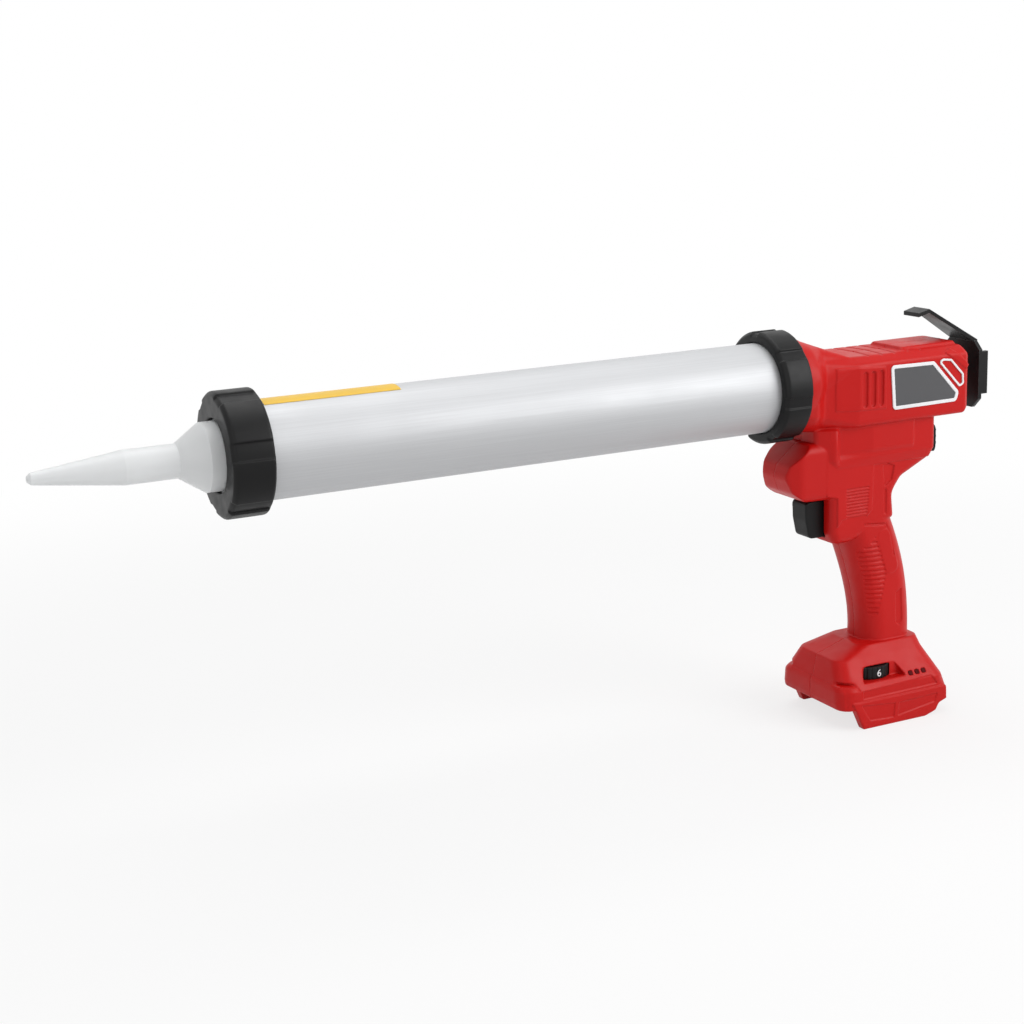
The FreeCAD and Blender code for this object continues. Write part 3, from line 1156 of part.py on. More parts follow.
def release_lever():
    x1 = MID_REAR_X + LEVER_DEPTH
    outer = MID_REAR_X + 2 * RUN_GAP
    outline = [(LEVER_PIN_X - 3, LEVER_PIN_Z + 3), (outer + 2, LEVER_PIN_Z + 3), (x1, LEVER_PIN_Z - 1),
               (x1, LEVER_BOTTOM_Z + 2), (x1 - 2, LEVER_BOTTOM_Z), (outer, LEVER_BOTTOM_Z),
               (outer, LEVER_PIN_Z - 6), (outer - 3.5, LEVER_PIN_Z - 3), (LEVER_PIN_X - 3, LEVER_PIN_Z - 3)]
    arm = polygon_xz(outline, -LEVER_HALF_WIDTH, LEVER_HALF_WIDTH)
    return arm.cut(rod_y(LEVER_PIN_RADIUS + SHAFT_GAP, -BIG, BIG, LEVER_PIN_X, LEVER_PIN_Z))


def lever_pin():
    half = MID_HALF_WIDTH - WALL
    return rod_y(LEVER_PIN_RADIUS, -half, half, LEVER_PIN_X, LEVER_PIN_Z)


def speed_dial():
    """Thumbwheel with a notched rim."""
    outline = []
    step = 2 * math.pi / DIAL_NOTCHES
    for k in range(DIAL_NOTCHES):
        for share, depth in ((0.0, DIAL_NOTCH_DEPTH), (0.25, 0.0), (0.75, 0.0)):
            angle = (k + share) * step
            radius = DIAL_RADIUS - depth
            x = DIAL_X + radius * math.cos(angle)
            y = DIAL_Y + radius * math.sin(angle)
            outline.append(Vector(x, y, DIAL_BOTTOM_Z))
    wheel = Part.Face(Part.makePolygon(outline + outline[:1])).extrude(Vector(0, 0, DIAL_HEIGHT))
    bore = rod_z(DIAL_POST_RADIUS + SHAFT_GAP, DIAL_BOTTOM_Z, DIAL_BOTTOM_Z + DIAL_HEIGHT, DIAL_X, DIAL_Y)
    return wheel.cut(bore)


def dial_post():
    """Potentiometer: square body on the board, and the post that the wheel turns on."""
    base = BOARD_Z + BOARD_THICKNESS
    half = DIAL_POST_RADIUS + 2
    body = box(DIAL_X - half, DIAL_X + half, DIAL_Y - half, DIAL_Y + half, base, DIAL_BOTTOM_Z - RUN_GAP)
    return body.fuse(rod_z(DIAL_POST_RADIUS, base, DIAL_BOTTOM_Z + DIAL_HEIGHT, DIAL_X, DIAL_Y))


def control_board():
    half = FOOT_TOP_HALF_WIDTH
    x1 = BLOCK_FRONT_X + BLOCK_LENGTH - 2
    return box(DIAL_X - DIAL_RADIUS, x1, -half, half, BOARD_Z, BOARD_Z + BOARD_THICKNESS)


def terminal_block():
    return box(BLOCK_FRONT_X, BLOCK_FRONT_X + BLOCK_LENGTH, -BLOCK_HALF_WIDTH, BLOCK_HALF_WIDTH,
               BOARD_Z - BLOCK_HEIGHT, BOARD_Z)


def terminal_blades():
    blades = []
    top = BOARD_Z - BLOCK_HEIGHT
    for k in range(BLADE_COUNT):
        y = (k - (BLADE_COUNT - 1) / 2) * BLADE_PITCH
        blades.append(box(BLOCK_FRONT_X + 4, BLOCK_FRONT_X + BLOCK_LENGTH - 8, y - BLADE_THICKNESS / 2,
                          y + BLADE_THICKNESS / 2, top - BLADE_DROP, top))
    return Part.makeCompound(blades)


def led_windows():
    return Part.makeCompound(led_solids())


def housing_screws():
    screws = []
    for x, z, half in SCREW_PLACES:
        seat = half - SCREW_SINK
        head = prism_y(12, SCREW_HEAD_RADIUS, seat, seat + SCREW_HEAD, x, z)
        screws.append(head.fuse(prism_y(6, SCREW_RADIUS, -SCREW_REACH, seat + 1, x, z)))
    return Part.makeCompound(screws)


def badge_outline(outline, radius, inset, raise_by):
    """Plate with a badge's outline, drawn in by an inset, on the left side of the gear body."""
    corners = [Vector(x, -BODY_HALF_WIDTH, z) for x, z in outline]
    face = Part.Face(rounded_wire(corners, [radius] * len(outline)))
    if inset:
        face = Part.Face(face.makeOffset2D(-inset).Wires)
    return face.extrude(Vector(0, -raise_by, 0))


def badge_plate():
    return badge_outline(BADGE_OUTLINE, BADGE_CORNER, BADGE_BORDER + SEAT_GAP, BADGE_RAISE / 2)


def badge_trim():
    """White frame round the badge plate, and the small empty frame behind it."""
    frames = []
    for outline, radius, border in ((BADGE_OUTLINE, BADGE_CORNER, BADGE_BORDER),
                                    (LOOP_OUTLINE, LOOP_CORNER, LOOP_BORDER)):
        full = badge_outline(outline, radius, 0, BADGE_RAISE)
        frames.append(full.cut(badge_outline(outline, radius, border, BADGE_RAISE)))
    return Part.makeCompound(frames)


left_housing, right_housing = housing_halves()
PIECES = {
    "left_housing": left_housing,
    "right_housing": right_housing,
    "housing_screws": housing_screws(),
    "spigot": spigot(),
    "rear_rod_guide": rear_rod_guide(),
    "motor_can": motor_can(),
    "motor_end_cap": motor_end_cap(),
    "gearbox_case": gearbox_case(),
    "gear_plate_left": frame_plate(-1),
    "gear_plate_right": frame_plate(1),
    "trigger_switch": trigger_switch(),
    "control_board": control_board(),
    "dial_post": dial_post(),
    "terminal_block": terminal_block(),
    "terminal_blades": terminal_blades(),
    "led_windows": led_windows(),
    "badge_trim": badge_trim(),
    "badge_plate": badge_plate(),
    "lever_pin": lever_pin(),
    "drive_shaft": drive_shaft(),
    "drive_pinion": drive_pinion(),
    "final_gear": final_gear(),
    "layshaft": layshaft(),
    "lay_pinion": lay_pinion(),
    "rack_rod": rack_rod(),
    "piston": piston(),
    "piston_seal": piston_seal(),
    "piston_screw": piston_screw(),
    "hook_plate": hook_plate(),
    "hook_screw": hook_screw(),
    "trigger": trigger(),
    "release_lever": release_lever(),
    "speed_dial": speed_dial(),
    "barrel_tube": barrel_tube(),
    "barrel_thread_ring": barrel_thread_ring(),
    "barrel_label": barrel_label(),
    "rear_collar": rear_collar(),
    "nozzle": nozzle(),
    "front_cap": front_cap(),
}
for piece_name, piece in PIECES.items():
    solids = len(piece.Solids)
    print("%-20s solids %d valid %s volume %.0f" % (piece_name, solids, piece.isValid(), piece.Volume))
    export(piece_name, piece)
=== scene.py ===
"""Looks of the cordless caulking tool: finished surfaces, materials, studio and camera.

Everything is in metres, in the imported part's frame: +X runs to the rear along the barrel, +Y to the
tool's right side and +Z up, with the origin under the middle of the foot.
"""
import bmesh
import bpy
import json
import math
import numpy as np
from functools import cached_property
from mathutils import Matrix, Vector


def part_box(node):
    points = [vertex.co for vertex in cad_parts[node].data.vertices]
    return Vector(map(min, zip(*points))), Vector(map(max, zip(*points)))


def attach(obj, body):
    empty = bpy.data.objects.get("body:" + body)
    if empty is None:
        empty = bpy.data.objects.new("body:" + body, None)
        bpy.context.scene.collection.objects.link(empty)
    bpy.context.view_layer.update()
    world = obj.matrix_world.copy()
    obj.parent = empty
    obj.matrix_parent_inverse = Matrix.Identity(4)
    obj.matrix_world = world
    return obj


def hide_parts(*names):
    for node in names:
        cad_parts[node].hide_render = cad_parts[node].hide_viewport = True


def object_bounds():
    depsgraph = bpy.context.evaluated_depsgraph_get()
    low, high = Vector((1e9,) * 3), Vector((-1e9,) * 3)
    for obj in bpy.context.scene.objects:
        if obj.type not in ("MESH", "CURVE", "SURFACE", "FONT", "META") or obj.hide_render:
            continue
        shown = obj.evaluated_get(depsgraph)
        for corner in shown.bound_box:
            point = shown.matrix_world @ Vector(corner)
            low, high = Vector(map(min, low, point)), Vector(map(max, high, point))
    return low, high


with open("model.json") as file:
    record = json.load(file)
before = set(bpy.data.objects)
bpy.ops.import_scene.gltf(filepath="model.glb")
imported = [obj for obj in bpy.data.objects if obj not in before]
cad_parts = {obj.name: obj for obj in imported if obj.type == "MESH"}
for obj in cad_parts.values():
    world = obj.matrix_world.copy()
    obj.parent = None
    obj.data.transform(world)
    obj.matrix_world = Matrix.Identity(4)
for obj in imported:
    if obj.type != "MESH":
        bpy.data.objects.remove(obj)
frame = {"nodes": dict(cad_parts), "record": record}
cad_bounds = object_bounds()
nodes = frame["nodes"]
scene = bpy.context.scene
MM = 0.001
WELD = 0.01 * MM          # points of a CAD mesh that are nearer than this are one

# Camera, solved from the rims of the front cap and the rear collar
CAMERA_TARGET = Vector((-0.2477, 0.0, 0.16335))
CAMERA_DISTANCE = 1.0237
CAMERA_AZIMUTH = 25.39
CAMERA_ELEVATION = 13.65
CAMERA_ROLL = -2.1
CAMERA_LENS = 63.28       # on a sensor 36 mm wide

# Colours as display values from 0 to 255
RED = (191, 16, 13)
BLACK = (13, 13, 14)
ALUMINIUM = (192, 193, 195)
YELLOW = (232, 186, 26)
NOZZLE_WHITE = (226, 228, 229)
STEEL_BLACK = (14, 14, 15)
COAT_WORN_AND_HIGHLIT = (120, 120, 122)   # where the black coat on the steel has thinned, and painted highlight along its bent edges
STEEL = (168, 168, 170)
BADGE_GREY = (88, 88, 90)
BADGE_WHITE = (236, 236, 238)
LENS_RED = (86, 6, 9)
BOARD_GREEN = (34, 92, 52)
BRASS = (214, 178, 102)
RUBBER = (32, 32, 33)

# Surfaces
PLASTIC_GLOSS = 0.21      # reflection level of the moulded plastics
COAT_GLOSS = 0.26         # and of the black coat on the steel
LENS_GLOSS = 0.06         # and of the sunk LED windows
NOISE_RANGE = (0.3, 0.7)  # values that a noise mostly has
EDGE_RANGE = (0.80, 0.995)    # likeness of the rounded and the flat normal on an edge and off it
EDGE_SAMPLES = 6
MIX_FIRST, MIX_SECOND, MIX_RESULT = 6, 7, 2   # colour sockets of a mix node


def linear(colour):
    """Linear colour from display values."""
    shares = [c / 255 for c in colour]
    values = [s / 12.92 if s <= 0.04045 else ((s + 0.055) / 1.055) ** 2.4 for s in shares]
    return (*values, 1.0)


def toned(colour, factor=1.0, lift=0.0):
    """A linear colour made darker or paler."""
    return (*(min(1.0, factor * c + lift) for c in colour[:3]), 1.0)


class Nodes:
    """The node tree of a material or of the world, built one node at a time."""

    def __init__(self, owner):
        owner.use_nodes = True
        self.owner = owner
        self.tree = owner.node_tree
        self.tree.nodes.clear()

    @cached_property
    def place(self):
        """Place on the object, in metres."""
        return self.add("ShaderNodeTexCoord").outputs["Object"]

    def add(self, kind, inputs=(), **settings):
        """A node with its settings, then its inputs, which are values or other nodes' sockets."""
        node = self.tree.nodes.new(kind)
        for key, value in settings.items():
            setattr(node, key, value)
        for key, value in dict(inputs).items():
            self.put(node.inputs[key], value)
        return node

    def put(self, socket, value):
        if isinstance(value, bpy.types.NodeSocket):
            self.tree.links.new(value, socket)
        else:
            socket.default_value = value

    def stretched(self, scale):
        return self.add("ShaderNodeMapping", {"Vector": self.place, "Scale": scale}).outputs["Vector"]

    def noise(self, scale, detail=2.0, roughness=0.5, vector=None):
        inputs = {"Vector": vector or self.place, "Scale": scale, "Detail": detail,
                  "Roughness": roughness}
        return self.add("ShaderNodeTexNoise", inputs).outputs["Fac"]

    def spread(self, value, low, high, source=NOISE_RANGE, **settings):
        """The source range carried over to low and high."""
        inputs = {0: value, 1: source[0], 2: source[1], 3: low, 4: high}
        return self.add("ShaderNodeMapRange", inputs, **settings).outputs[0]

    def math(self, operation, a, b=0.0):
        return self.add("ShaderNodeMath", {0: a, 1: b}, operation=operation).outputs[0]

    def mix(self, share, first, second):
        """A colour between two colours."""
        inputs = {"Factor": share, MIX_FIRST: first, MIX_SECOND: second}
        return self.add("ShaderNodeMix", inputs, data_type="RGBA").outputs[MIX_RESULT]

    def edges(self, radius):
        """1 where a surface bends within the radius, 0 where it is flat, and the rounded normal."""
        rounded = self.add("ShaderNodeBevel", {"Radius": radius}, samples=EDGE_SAMPLES).outputs["Normal"]
        flat = self.add("ShaderNodeNewGeometry").outputs["Normal"]
        alike = self.add("ShaderNodeVectorMath", {0: rounded, 1: flat}, operation="DOT_PRODUCT")
        return self.spread(alike.outputs["Value"], 1.0, 0.0, EDGE_RANGE), rounded

    def bump(self, height, strength, distance, normal=None):
        inputs = {"Height": height, "Strength": strength, "Distance": distance}
        if normal:
            inputs["Normal"] = normal
        return self.add("ShaderNodeBump", inputs).outputs["Normal"]

    def surface(self, **inputs):
        """The finished material: a principled shader with these inputs."""
        shader = self.add("ShaderNodeBsdfPrincipled")
        for key, value in inputs.items():
            self.put(shader.inputs[key.replace("_", " ")], value)
        self.add("ShaderNodeOutputMaterial", {"Surface": shader.outputs[0]})
        return self.owner

    def seen(self, share):
        """The share for rays of the camera, reflections and see-through surfaces, 0 for the others."""
        rays = self.add("ShaderNodeLightPath").outputs
        direct = self.math("MAXIMUM", rays["Is Camera Ray"], rays["Is Glossy Ray"])
        return self.math("MULTIPLY", self.math("MAXIMUM", direct, rays["Is Transmission Ray"]), share)

    def blend(self, share, first, second):
        """A shader between two shaders."""
        inputs = {0: share, 1: first.outputs[0], 2: second.outputs[0]}
        return self.add("ShaderNodeMixShader", inputs).outputs[0]


def new_material(name):
    return Nodes(bpy.data.materials.new(name))


def moulded_plastic(name, colour, rough, grain, wear_and_highlight, edge=0.8 * MM, gloss=PLASTIC_GLOSS):
    """Moulded plastic: fine spark grain, uneven sheen, and edges a little paler, from rubbed wear and a
    painted highlight.
    """
    n = new_material(name)
    edge_share, rounded = n.edges(edge)
    worn_and_highlit_edges = n.math("MULTIPLY", edge_share, n.spread(n.noise(scale=220.0, detail=3.0), 0.15, 1.0))
    cloud = n.spread(n.noise(scale=18.0, detail=3.0), 0.0, 0.35)
    base = linear(colour)
    body = n.mix(cloud, base, toned(base, factor=0.80))
    # edges painted paler: partly rubbed wear, partly a painted highlight
    tone = n.mix(n.math("MULTIPLY", worn_and_highlit_edges, 0.6), body, toned(base, lift=wear_and_highlight))
    sheen = n.spread(n.noise(scale=130.0, detail=4.0), rough - 0.05, rough + 0.07)
    normal = n.bump(n.noise(scale=2600.0), strength=grain, distance=0.12 * MM, normal=rounded)
    return n.surface(Base_Color=tone, Roughness=sheen, Specular_IOR_Level=gloss, Normal=normal)


def anodised_tube(name, colour):
    """Drawn and satin anodised tube: fine lines along its length."""
    n = new_material(name)
    along = n.stretched((14.0, 1700.0, 1700.0))
    lines = n.noise(scale=1.0, detail=4.0, roughness=0.6, vector=along)
    cloud = n.noise(scale=26.0, detail=3.0)
    base = linear(colour)
    tone = n.mix(n.spread(lines, 0.0, 0.5), base, toned(base, factor=0.86))
    uneven = n.math("ADD", n.math("MULTIPLY", lines, 0.5), n.math("MULTIPLY", cloud, 0.5))
    sheen = n.spread(uneven, 0.50, 0.62)
    normal = n.bump(lines, strength=0.05, distance=0.05 * MM)
    return n.surface(Base_Color=tone, Metallic=0.55, Roughness=sheen, Normal=normal)


def machined_metal(name, colour, rough):
    """Cut metal: fine tool marks, and edges rubbed bright."""
    n = new_material(name)
    edge_share, rounded = n.edges(0.4 * MM)
    marks = n.noise(scale=900.0, detail=3.0)
    base = linear(colour)
    tone = n.mix(n.math("MULTIPLY", edge_share, 0.7), base, toned(base, factor=1.25))
    sheen = n.spread(marks, rough - 0.06, rough + 0.08)
    normal = n.bump(marks, strength=0.06, distance=0.05 * MM, normal=rounded)
    return n.surface(Base_Color=tone, Metallic=1.0, Roughness=sheen, Normal=normal)


def coated_steel(name, colour):
    """Black coated sheet steel, with the coat thinned along its bent edges and a painted highlight there.
    """
    n = new_material(name)
    edge_share, rounded = n.edges(0.7 * MM)
    thinned_and_highlit = n.math("MULTIPLY", edge_share, n.spread(n.noise(scale=240.0, detail=4.0), 0.0, 1.0))
    # bent edges painted pale grey: thinned coat and a painted highlight
    tone = n.mix(n.math("MULTIPLY", thinned_and_highlit, 0.55), linear(colour), linear(COAT_WORN_AND_HIGHLIT))
    sheen = n.spread(n.noise(scale=90.0, detail=3.0), 0.28, 0.40)
    normal = n.bump(n.noise(scale=650.0), strength=0.10, distance=0.10 * MM, normal=rounded)
    return n.surface(Base_Color=tone, Roughness=sheen, Specular_IOR_Level=COAT_GLOSS, Normal=normal)


def translucent_plastic(name, colour):
    """Milky nozzle plastic that lets some light through."""
    n = new_material(name)
    cloud = n.spread(n.noise(scale=40.0, detail=3.0), 0.0, 0.25)
    base = linear(colour)
    tone = n.mix(cloud, base, toned(base, factor=0.92))
    sheen = n.spread(n.noise(scale=120.0, detail=3.0), 0.30, 0.42)
    normal = n.bump(n.noise(scale=1500.0), strength=0.05, distance=0.06 * MM)
    return n.surface(Base_Color=tone, Roughness=sheen, Normal=normal, Subsurface_Weight=0.6,
                     Subsurface_Radius=(1.0, 1.0, 1.0), Subsurface_Scale=4.0 * MM)


def printed_film(name, colour):
    """Label film: slightly uneven print on a fibrous sheet."""
    n = new_material(name)
    fibre = n.noise(scale=1400.0, detail=3.0)
    base = linear(colour)
    cloud = n.spread(n.noise(scale=60.0, detail=3.0), 0.0, 0.5)
    tone = n.mix(cloud, base, toned(base, factor=0.9))
    sheen = n.spread(fibre, 0.34, 0.44)
    normal = n.bump(fibre, strength=0.05, distance=0.04 * MM)
    return n.surface(Base_Color=tone, Roughness=sheen, Normal=normal)


MATERIALS = {             # plastics: roughness, grain, paling of the edges (rubbed wear and painted highlight) and their radius
    "housing_red": moulded_plastic("red_housing_plastic", RED, 0.40, 0.14, 0.10),
    "black_plastic": moulded_plastic("black_moulded_plastic", BLACK, 0.40, 0.18, 0.06),
    "tube_aluminium": anodised_tube("anodised_aluminium", ALUMINIUM),
    "label_yellow": printed_film("yellow_film", YELLOW),
    "nozzle_white": translucent_plastic("milky_plastic", NOZZLE_WHITE),
    "black_steel": coated_steel("black_coated_steel", STEEL_BLACK),
    "plain_steel": machined_metal("machined_steel", STEEL, rough=0.34),
    "badge_white": moulded_plastic("white_paint", BADGE_WHITE, 0.30, 0.05, 0.0, 0.3 * MM),
    "badge_grey": moulded_plastic("grey_badge", BADGE_GREY, 0.36, 0.10, 0.02, 0.3 * MM),
    "led_lens": moulded_plastic("red_lens", LENS_RED, 0.50, 0.02, 0.0, 0.2 * MM, LENS_GLOSS),
    "board_green": moulded_plastic("green_lacquer", BOARD_GREEN, 0.34, 0.08, 0.02, 0.2 * MM),
    "contact_brass": machined_metal("plated_brass", BRASS, rough=0.28),
    "seal_rubber": moulded_plastic("seal_rubber", RUBBER, 0.62, 0.20, 0.02, 0.3 * MM),
}
NODE_SLOTS = {part["node"]: part["material_slot"] for part in frame["record"]["subparts"]}


def dress(obj, material):
    obj.data.materials.clear()
    obj.data.materials.append(material)


def dress_cad_nodes():
    """Each CAD node takes the material of its slot."""
    for name, obj in nodes.items():
        dress(obj, MATERIALS[NODE_SLOTS[name]])


def new_object(name, data):
    obj = bpy.data.objects.new(name, data)
    scene.collection.objects.link(obj)
    return obj


def settle(piece, body, slot, stands_for=None):
    """Give a piece the material of its slot, hide the CAD node it stands for, if any, and attach it to
    its body.
    """
    dress(piece, MATERIALS[slot])
    if stands_for:
        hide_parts(stands_for)
    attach(piece, body)


def mesh_from(shape, name):
    """A mesh from a bmesh, which is used up."""
    mesh = bpy.data.meshes.new(name)
    shape.to_mesh(mesh)
    shape.free()
    return mesh


def finished_mesh(obj):
    """The object's mesh with its modifiers applied."""
    graph = bpy.context.evaluated_depsgraph_get()
    return bpy.data.meshes.new_from_object(obj.evaluated_get(graph))


def welded_shape(mesh):
    """The mesh as a bmesh with its double points joined."""
    shape = bmesh.new()
    shape.from_mesh(mesh)
    bmesh.ops.remove_doubles(shape, verts=shape.verts, dist=WELD)
    return shape


# Moulded skins
SKINS = {                 # node: (body, voxel size, rounds of smoothing on the large forms)
    "left_housing": ("housing", 0.36 * MM, 14),
    "right_housing": ("housing", 0.36 * MM, 14),
    "rear_collar": ("collar", 0.45 * MM, 6),
    "front_cap": ("cap", 0.45 * MM, 6),
    "trigger": ("trigger", 0.35 * MM, 12),
    "release_lever": ("lever", 0.35 * MM, 8),
    "badge_trim": ("housing", 0.20 * MM, 4),
}
HOUSING_SIDES = {"left_housing": -1, "right_housing": 1}   # and their side of the parting plane
FIRST_ROUNDS = 2          # of smoothing on every point of a skin
PACE = 0.5                # share of the way to its neighbours' mean that a point goes in a round
SKIN_SHARE = 0.155        # of the faces kept where a skin is thinned
FINE_LIMIT = 0.3          # plainness below which the thinning spares a point
SEAM_BAND = (0.1 * MM, 2.0 * MM)   # from the parting plane, where the smoothing fades out
DETAIL_BEND = 0.010       # bend, in voxels, from which a pair of edges counts as fine relief
DETAIL_REACH = 10         # rounds of blurring that bring the two edges of a pair together
DETAIL_BLUR = 4           # rounds of blurring at the border of the fine relief

# Patch over the thin top of the neck: its outline in X and Z, in mm, and its reach to each side
NECK_PATCH = [(-60.5, 242.0), (-60.5, 244.7), (-56.4, 244.15), (-55.0, 243.2), (-55.0, 242.0)]
NECK_PATCH_WIDTH = 5.5 * MM

# Waists in front of the creases of the head and the gear case: X where the waist starts, is deepest and
# ends in a crease, in mm, with the share of the width that it takes away
HEAD_WAIST = ((-56.5, -46.0, -25.0), 0.20)
CASE_WAIST = ((-38.0, -34.0, -12.0), 0.13)
HEAD_LOW = (188.5, 190.5)     # heights in mm between which the head goes over into the gear case
CASE_LOW = (166.0, 173.0)     # and between which the gear case's waist fades out

# Moulded step over the front of the foot
STEP_LEVEL = 28.6 * MM        # height of its upper edge
STEP_EDGE = 0.4 * MM          # over which it rises below that edge
STEP_HEIGHT = 0.9 * MM
STEP_FADE = (13.0 * MM, 17.0 * MM)   # heights between which it runs out downwards
STEP_BACK = -38.5 * MM        # nothing behind this X is moved
STEP_FACING = (0.35, 0.65)    # how far a face has to look to the front
STEP_CORNER = ((-46.0, 22.0, 25.5), (-29.0, 37.0, 32.0))   # box in mm where the step's end is melted in
STEP_CORNER_ROUNDS = 45
STEP_CORNER_EDGE = 1.5        # mm over which that fades out


class Skin:
    """The points of a dense closed mesh, with the means to smooth them."""

    def __init__(self, mesh):
        self.mesh = mesh
        count = len(mesh.vertices)
        self.points = np.empty(count * 3)
        mesh.vertices.foreach_get("co", self.points)
        self.points = self.points.reshape(-1, 3)
        ends = np.empty(len(mesh.edges) * 2, dtype=np.int64)
        mesh.edges.foreach_get("vertices", ends)
        self.first, self.second = ends.reshape(-1, 2).T
        self.links = np.bincount(self.first, minlength=count) + np.bincount(self.second, minlength=count)

    def around(self, values):
        """Mean of the values at each point's neighbours."""
        count = len(self.links)
        columns = [np.bincount(self.first, column[self.second], count)
                   + np.bincount(self.second, column[self.first], count) for column in values.T]
        return np.stack(columns, axis=1) / self.links[:, None]

    def smooth(self, rounds, share):
        for _ in range(rounds):
            self.points += PACE * share * (self.around(self.points) - self.points)

    def blurred(self, values, rounds):
        for _ in range(rounds):
            values = (values + self.around(values)) / 2
        return values

    def plainness(self, voxel):
        """1 on the large forms, falling to 0 where raised and sunk edges lie side by side."""
        bend = ((self.around(self.points) - self.points) * self.normals()).sum(axis=1) / voxel
        sides = np.stack([np.maximum(bend, 0), np.maximum(-bend, 0)], axis=1)
        both = self.blurred(sides, DETAIL_REACH).min(axis=1)
        relief = np.clip(both / DETAIL_BEND, 0, 1)[:, None]
        return 1 - self.blurred(relief, DETAIL_BLUR)

    def normals(self):
        self.store()
        normals = np.empty(len(self.links) * 3)
        self.mesh.vertex_normals.foreach_get("vector", normals)
        return normals.reshape(-1, 3)

    def store(self):
        self.mesh.vertices.foreach_set("co", self.points.ravel())
        self.mesh.update()


def ramp(values, low, high):
    """0 up to low, 1 from high on."""
    return np.clip((values - low) / (high - low), 0, 1)


def waist(x, bounds, depth):
    """Share of the width that a waist takes away: a soft start, then a straight face up to its crease."""
    start, deepest, crease = bounds
    lead = ramp(x, start, deepest)
    return depth * lead * lead * (3 - 2 * lead) * (1 - ramp(x, deepest, crease))


def sculpt_housing(skin):
    """Draw in the fronts of head and gear case, and carry the foot's step on over its front."""
    x, z = skin.points[:, 0] / MM, skin.points[:, 2] / MM
    upper = ramp(z, *HEAD_LOW)
    drawn = upper * waist(x, *HEAD_WAIST) + (1 - upper) * ramp(z, *CASE_LOW) * waist(x, *CASE_WAIST)
    skin.points[:, 1] *= 1 - drawn
    x, z = skin.points[:, 0], skin.points[:, 2]
    facing = ramp(-skin.normals()[:, 0], *STEP_FACING)
    height = ramp(STEP_LEVEL - z, 0, STEP_EDGE) * ramp(z, *STEP_FADE)
    skin.points[:, 0] -= np.where(x < STEP_BACK, STEP_HEIGHT * facing * height, 0)
    place = skin.points / MM
    place[:, 1] = np.abs(place[:, 1])
    low, high = (np.array(corner) for corner in STEP_CORNER)
    inside = np.minimum(place - low, high - place).min(axis=1)
    skin.smooth(STEP_CORNER_ROUNDS, ramp(inside, 0, STEP_CORNER_EDGE)[:, None])


def add_neck_patch(shape, side):
    """Close the thin top of the neck over the sleeve inside it."""
    rings = []
    for y in (0.0, side * NECK_PATCH_WIDTH):
        rings.append([shape.verts.new((x * MM, y, z * MM)) for x, z in NECK_PATCH])
    faces = [shape.faces.new(ring) for ring in rings]
    count = len(NECK_PATCH)
    for i in range(count):
        j = (i + 1) % count
        faces.append(shape.faces.new((rings[0][i], rings[0][j], rings[1][j], rings[1][i])))
    bmesh.ops.recalc_face_normals(shape, faces=faces)


def solid_copy(name):
    """A CAD node's mesh as closed solids, with the neck patch on a housing half."""
    shape = welded_shape(nodes[name].data)
    if name in HOUSING_SIDES:
        add_neck_patch(shape, HOUSING_SIDES[name])
    return mesh_from(shape, name)


def remeshed(piece, voxel):
    """The piece's mesh made even and dense, and drawn back onto its own surface."""
    source = bpy.data.objects.new(piece.name + "_source", piece.data)
    remesh = piece.modifiers.new("remesh", "REMESH")
    remesh.mode = "VOXEL"
    remesh.voxel_size = voxel
    draw = piece.modifiers.new("draw", "SHRINKWRAP")
    draw.target = source
    mesh = finished_mesh(piece)
    piece.modifiers.clear()
    bpy.data.objects.remove(source)
    return mesh


def soften(skin, is_housing, voxel, rounds):
    """Round off the large forms, and give the plainness of each point."""
    share = ramp(np.abs(skin.points[:, 1:2]), *SEAM_BAND) if is_housing else 1.0
    skin.smooth(FIRST_ROUNDS, share)
    plainness = skin.plainness(voxel)
    skin.smooth(rounds, share * plainness)
    if is_housing:
        sculpt_housing(skin)
    skin.store()
    return plainness


def thin_out(piece, plainness):
    """Fewer faces on the large forms."""
    plain = piece.vertex_groups.new(name="plain")
    plain.add(np.nonzero(plainness[:, 0] > FINE_LIMIT)[0].tolist(), 1.0, "REPLACE")
    thin = piece.modifiers.new("thin", "DECIMATE")
    thin.ratio = SKIN_SHARE
    thin.vertex_group = plain.name
    piece.data = finished_mesh(piece)
    piece.modifiers.clear()
    piece.vertex_groups.clear()


def add_skin(name, body, voxel, rounds):
    """A moulded piece over its CAD solid: soft corners on the large forms, crisper fine relief."""
    piece = new_object(name + "_skin", solid_copy(name))
    skin = Skin(remeshed(piece, voxel))
    plainness = soften(skin, name in HOUSING_SIDES, voxel, rounds)
    piece.data = skin.mesh
    thin_out(piece, plainness)
    piece.data.shade_smooth()
    settle(piece, body, NODE_SLOTS[name], stands_for=name)


# Housing screws
SCREW_POINTS = 48         # round each ring of a screw
SCREW_RIM = 0.9           # share of the head's radius from which a point is on its rim
SCREW_GAP = 0.1 * MM      # below the head, from which a point is on the shank
RECESS_LOBES = 6
RECESS_DEPTH = 1.1 * MM


def islands(mesh):
    """The points of each separate solid in a mesh."""
    shape = welded_shape(mesh)
    left = set(shape.verts)
    groups = []
    while left:
        reached = [left.pop()]
        group = []
        while reached:
            vert = reached.pop()
            group.append(vert.co.copy())
            for edge in vert.link_edges:
                other = edge.other_vert(vert)
                if other in left:
                    left.remove(other)
                    reached.append(other)
        groups.append(group)
    shape.free()
    return groups


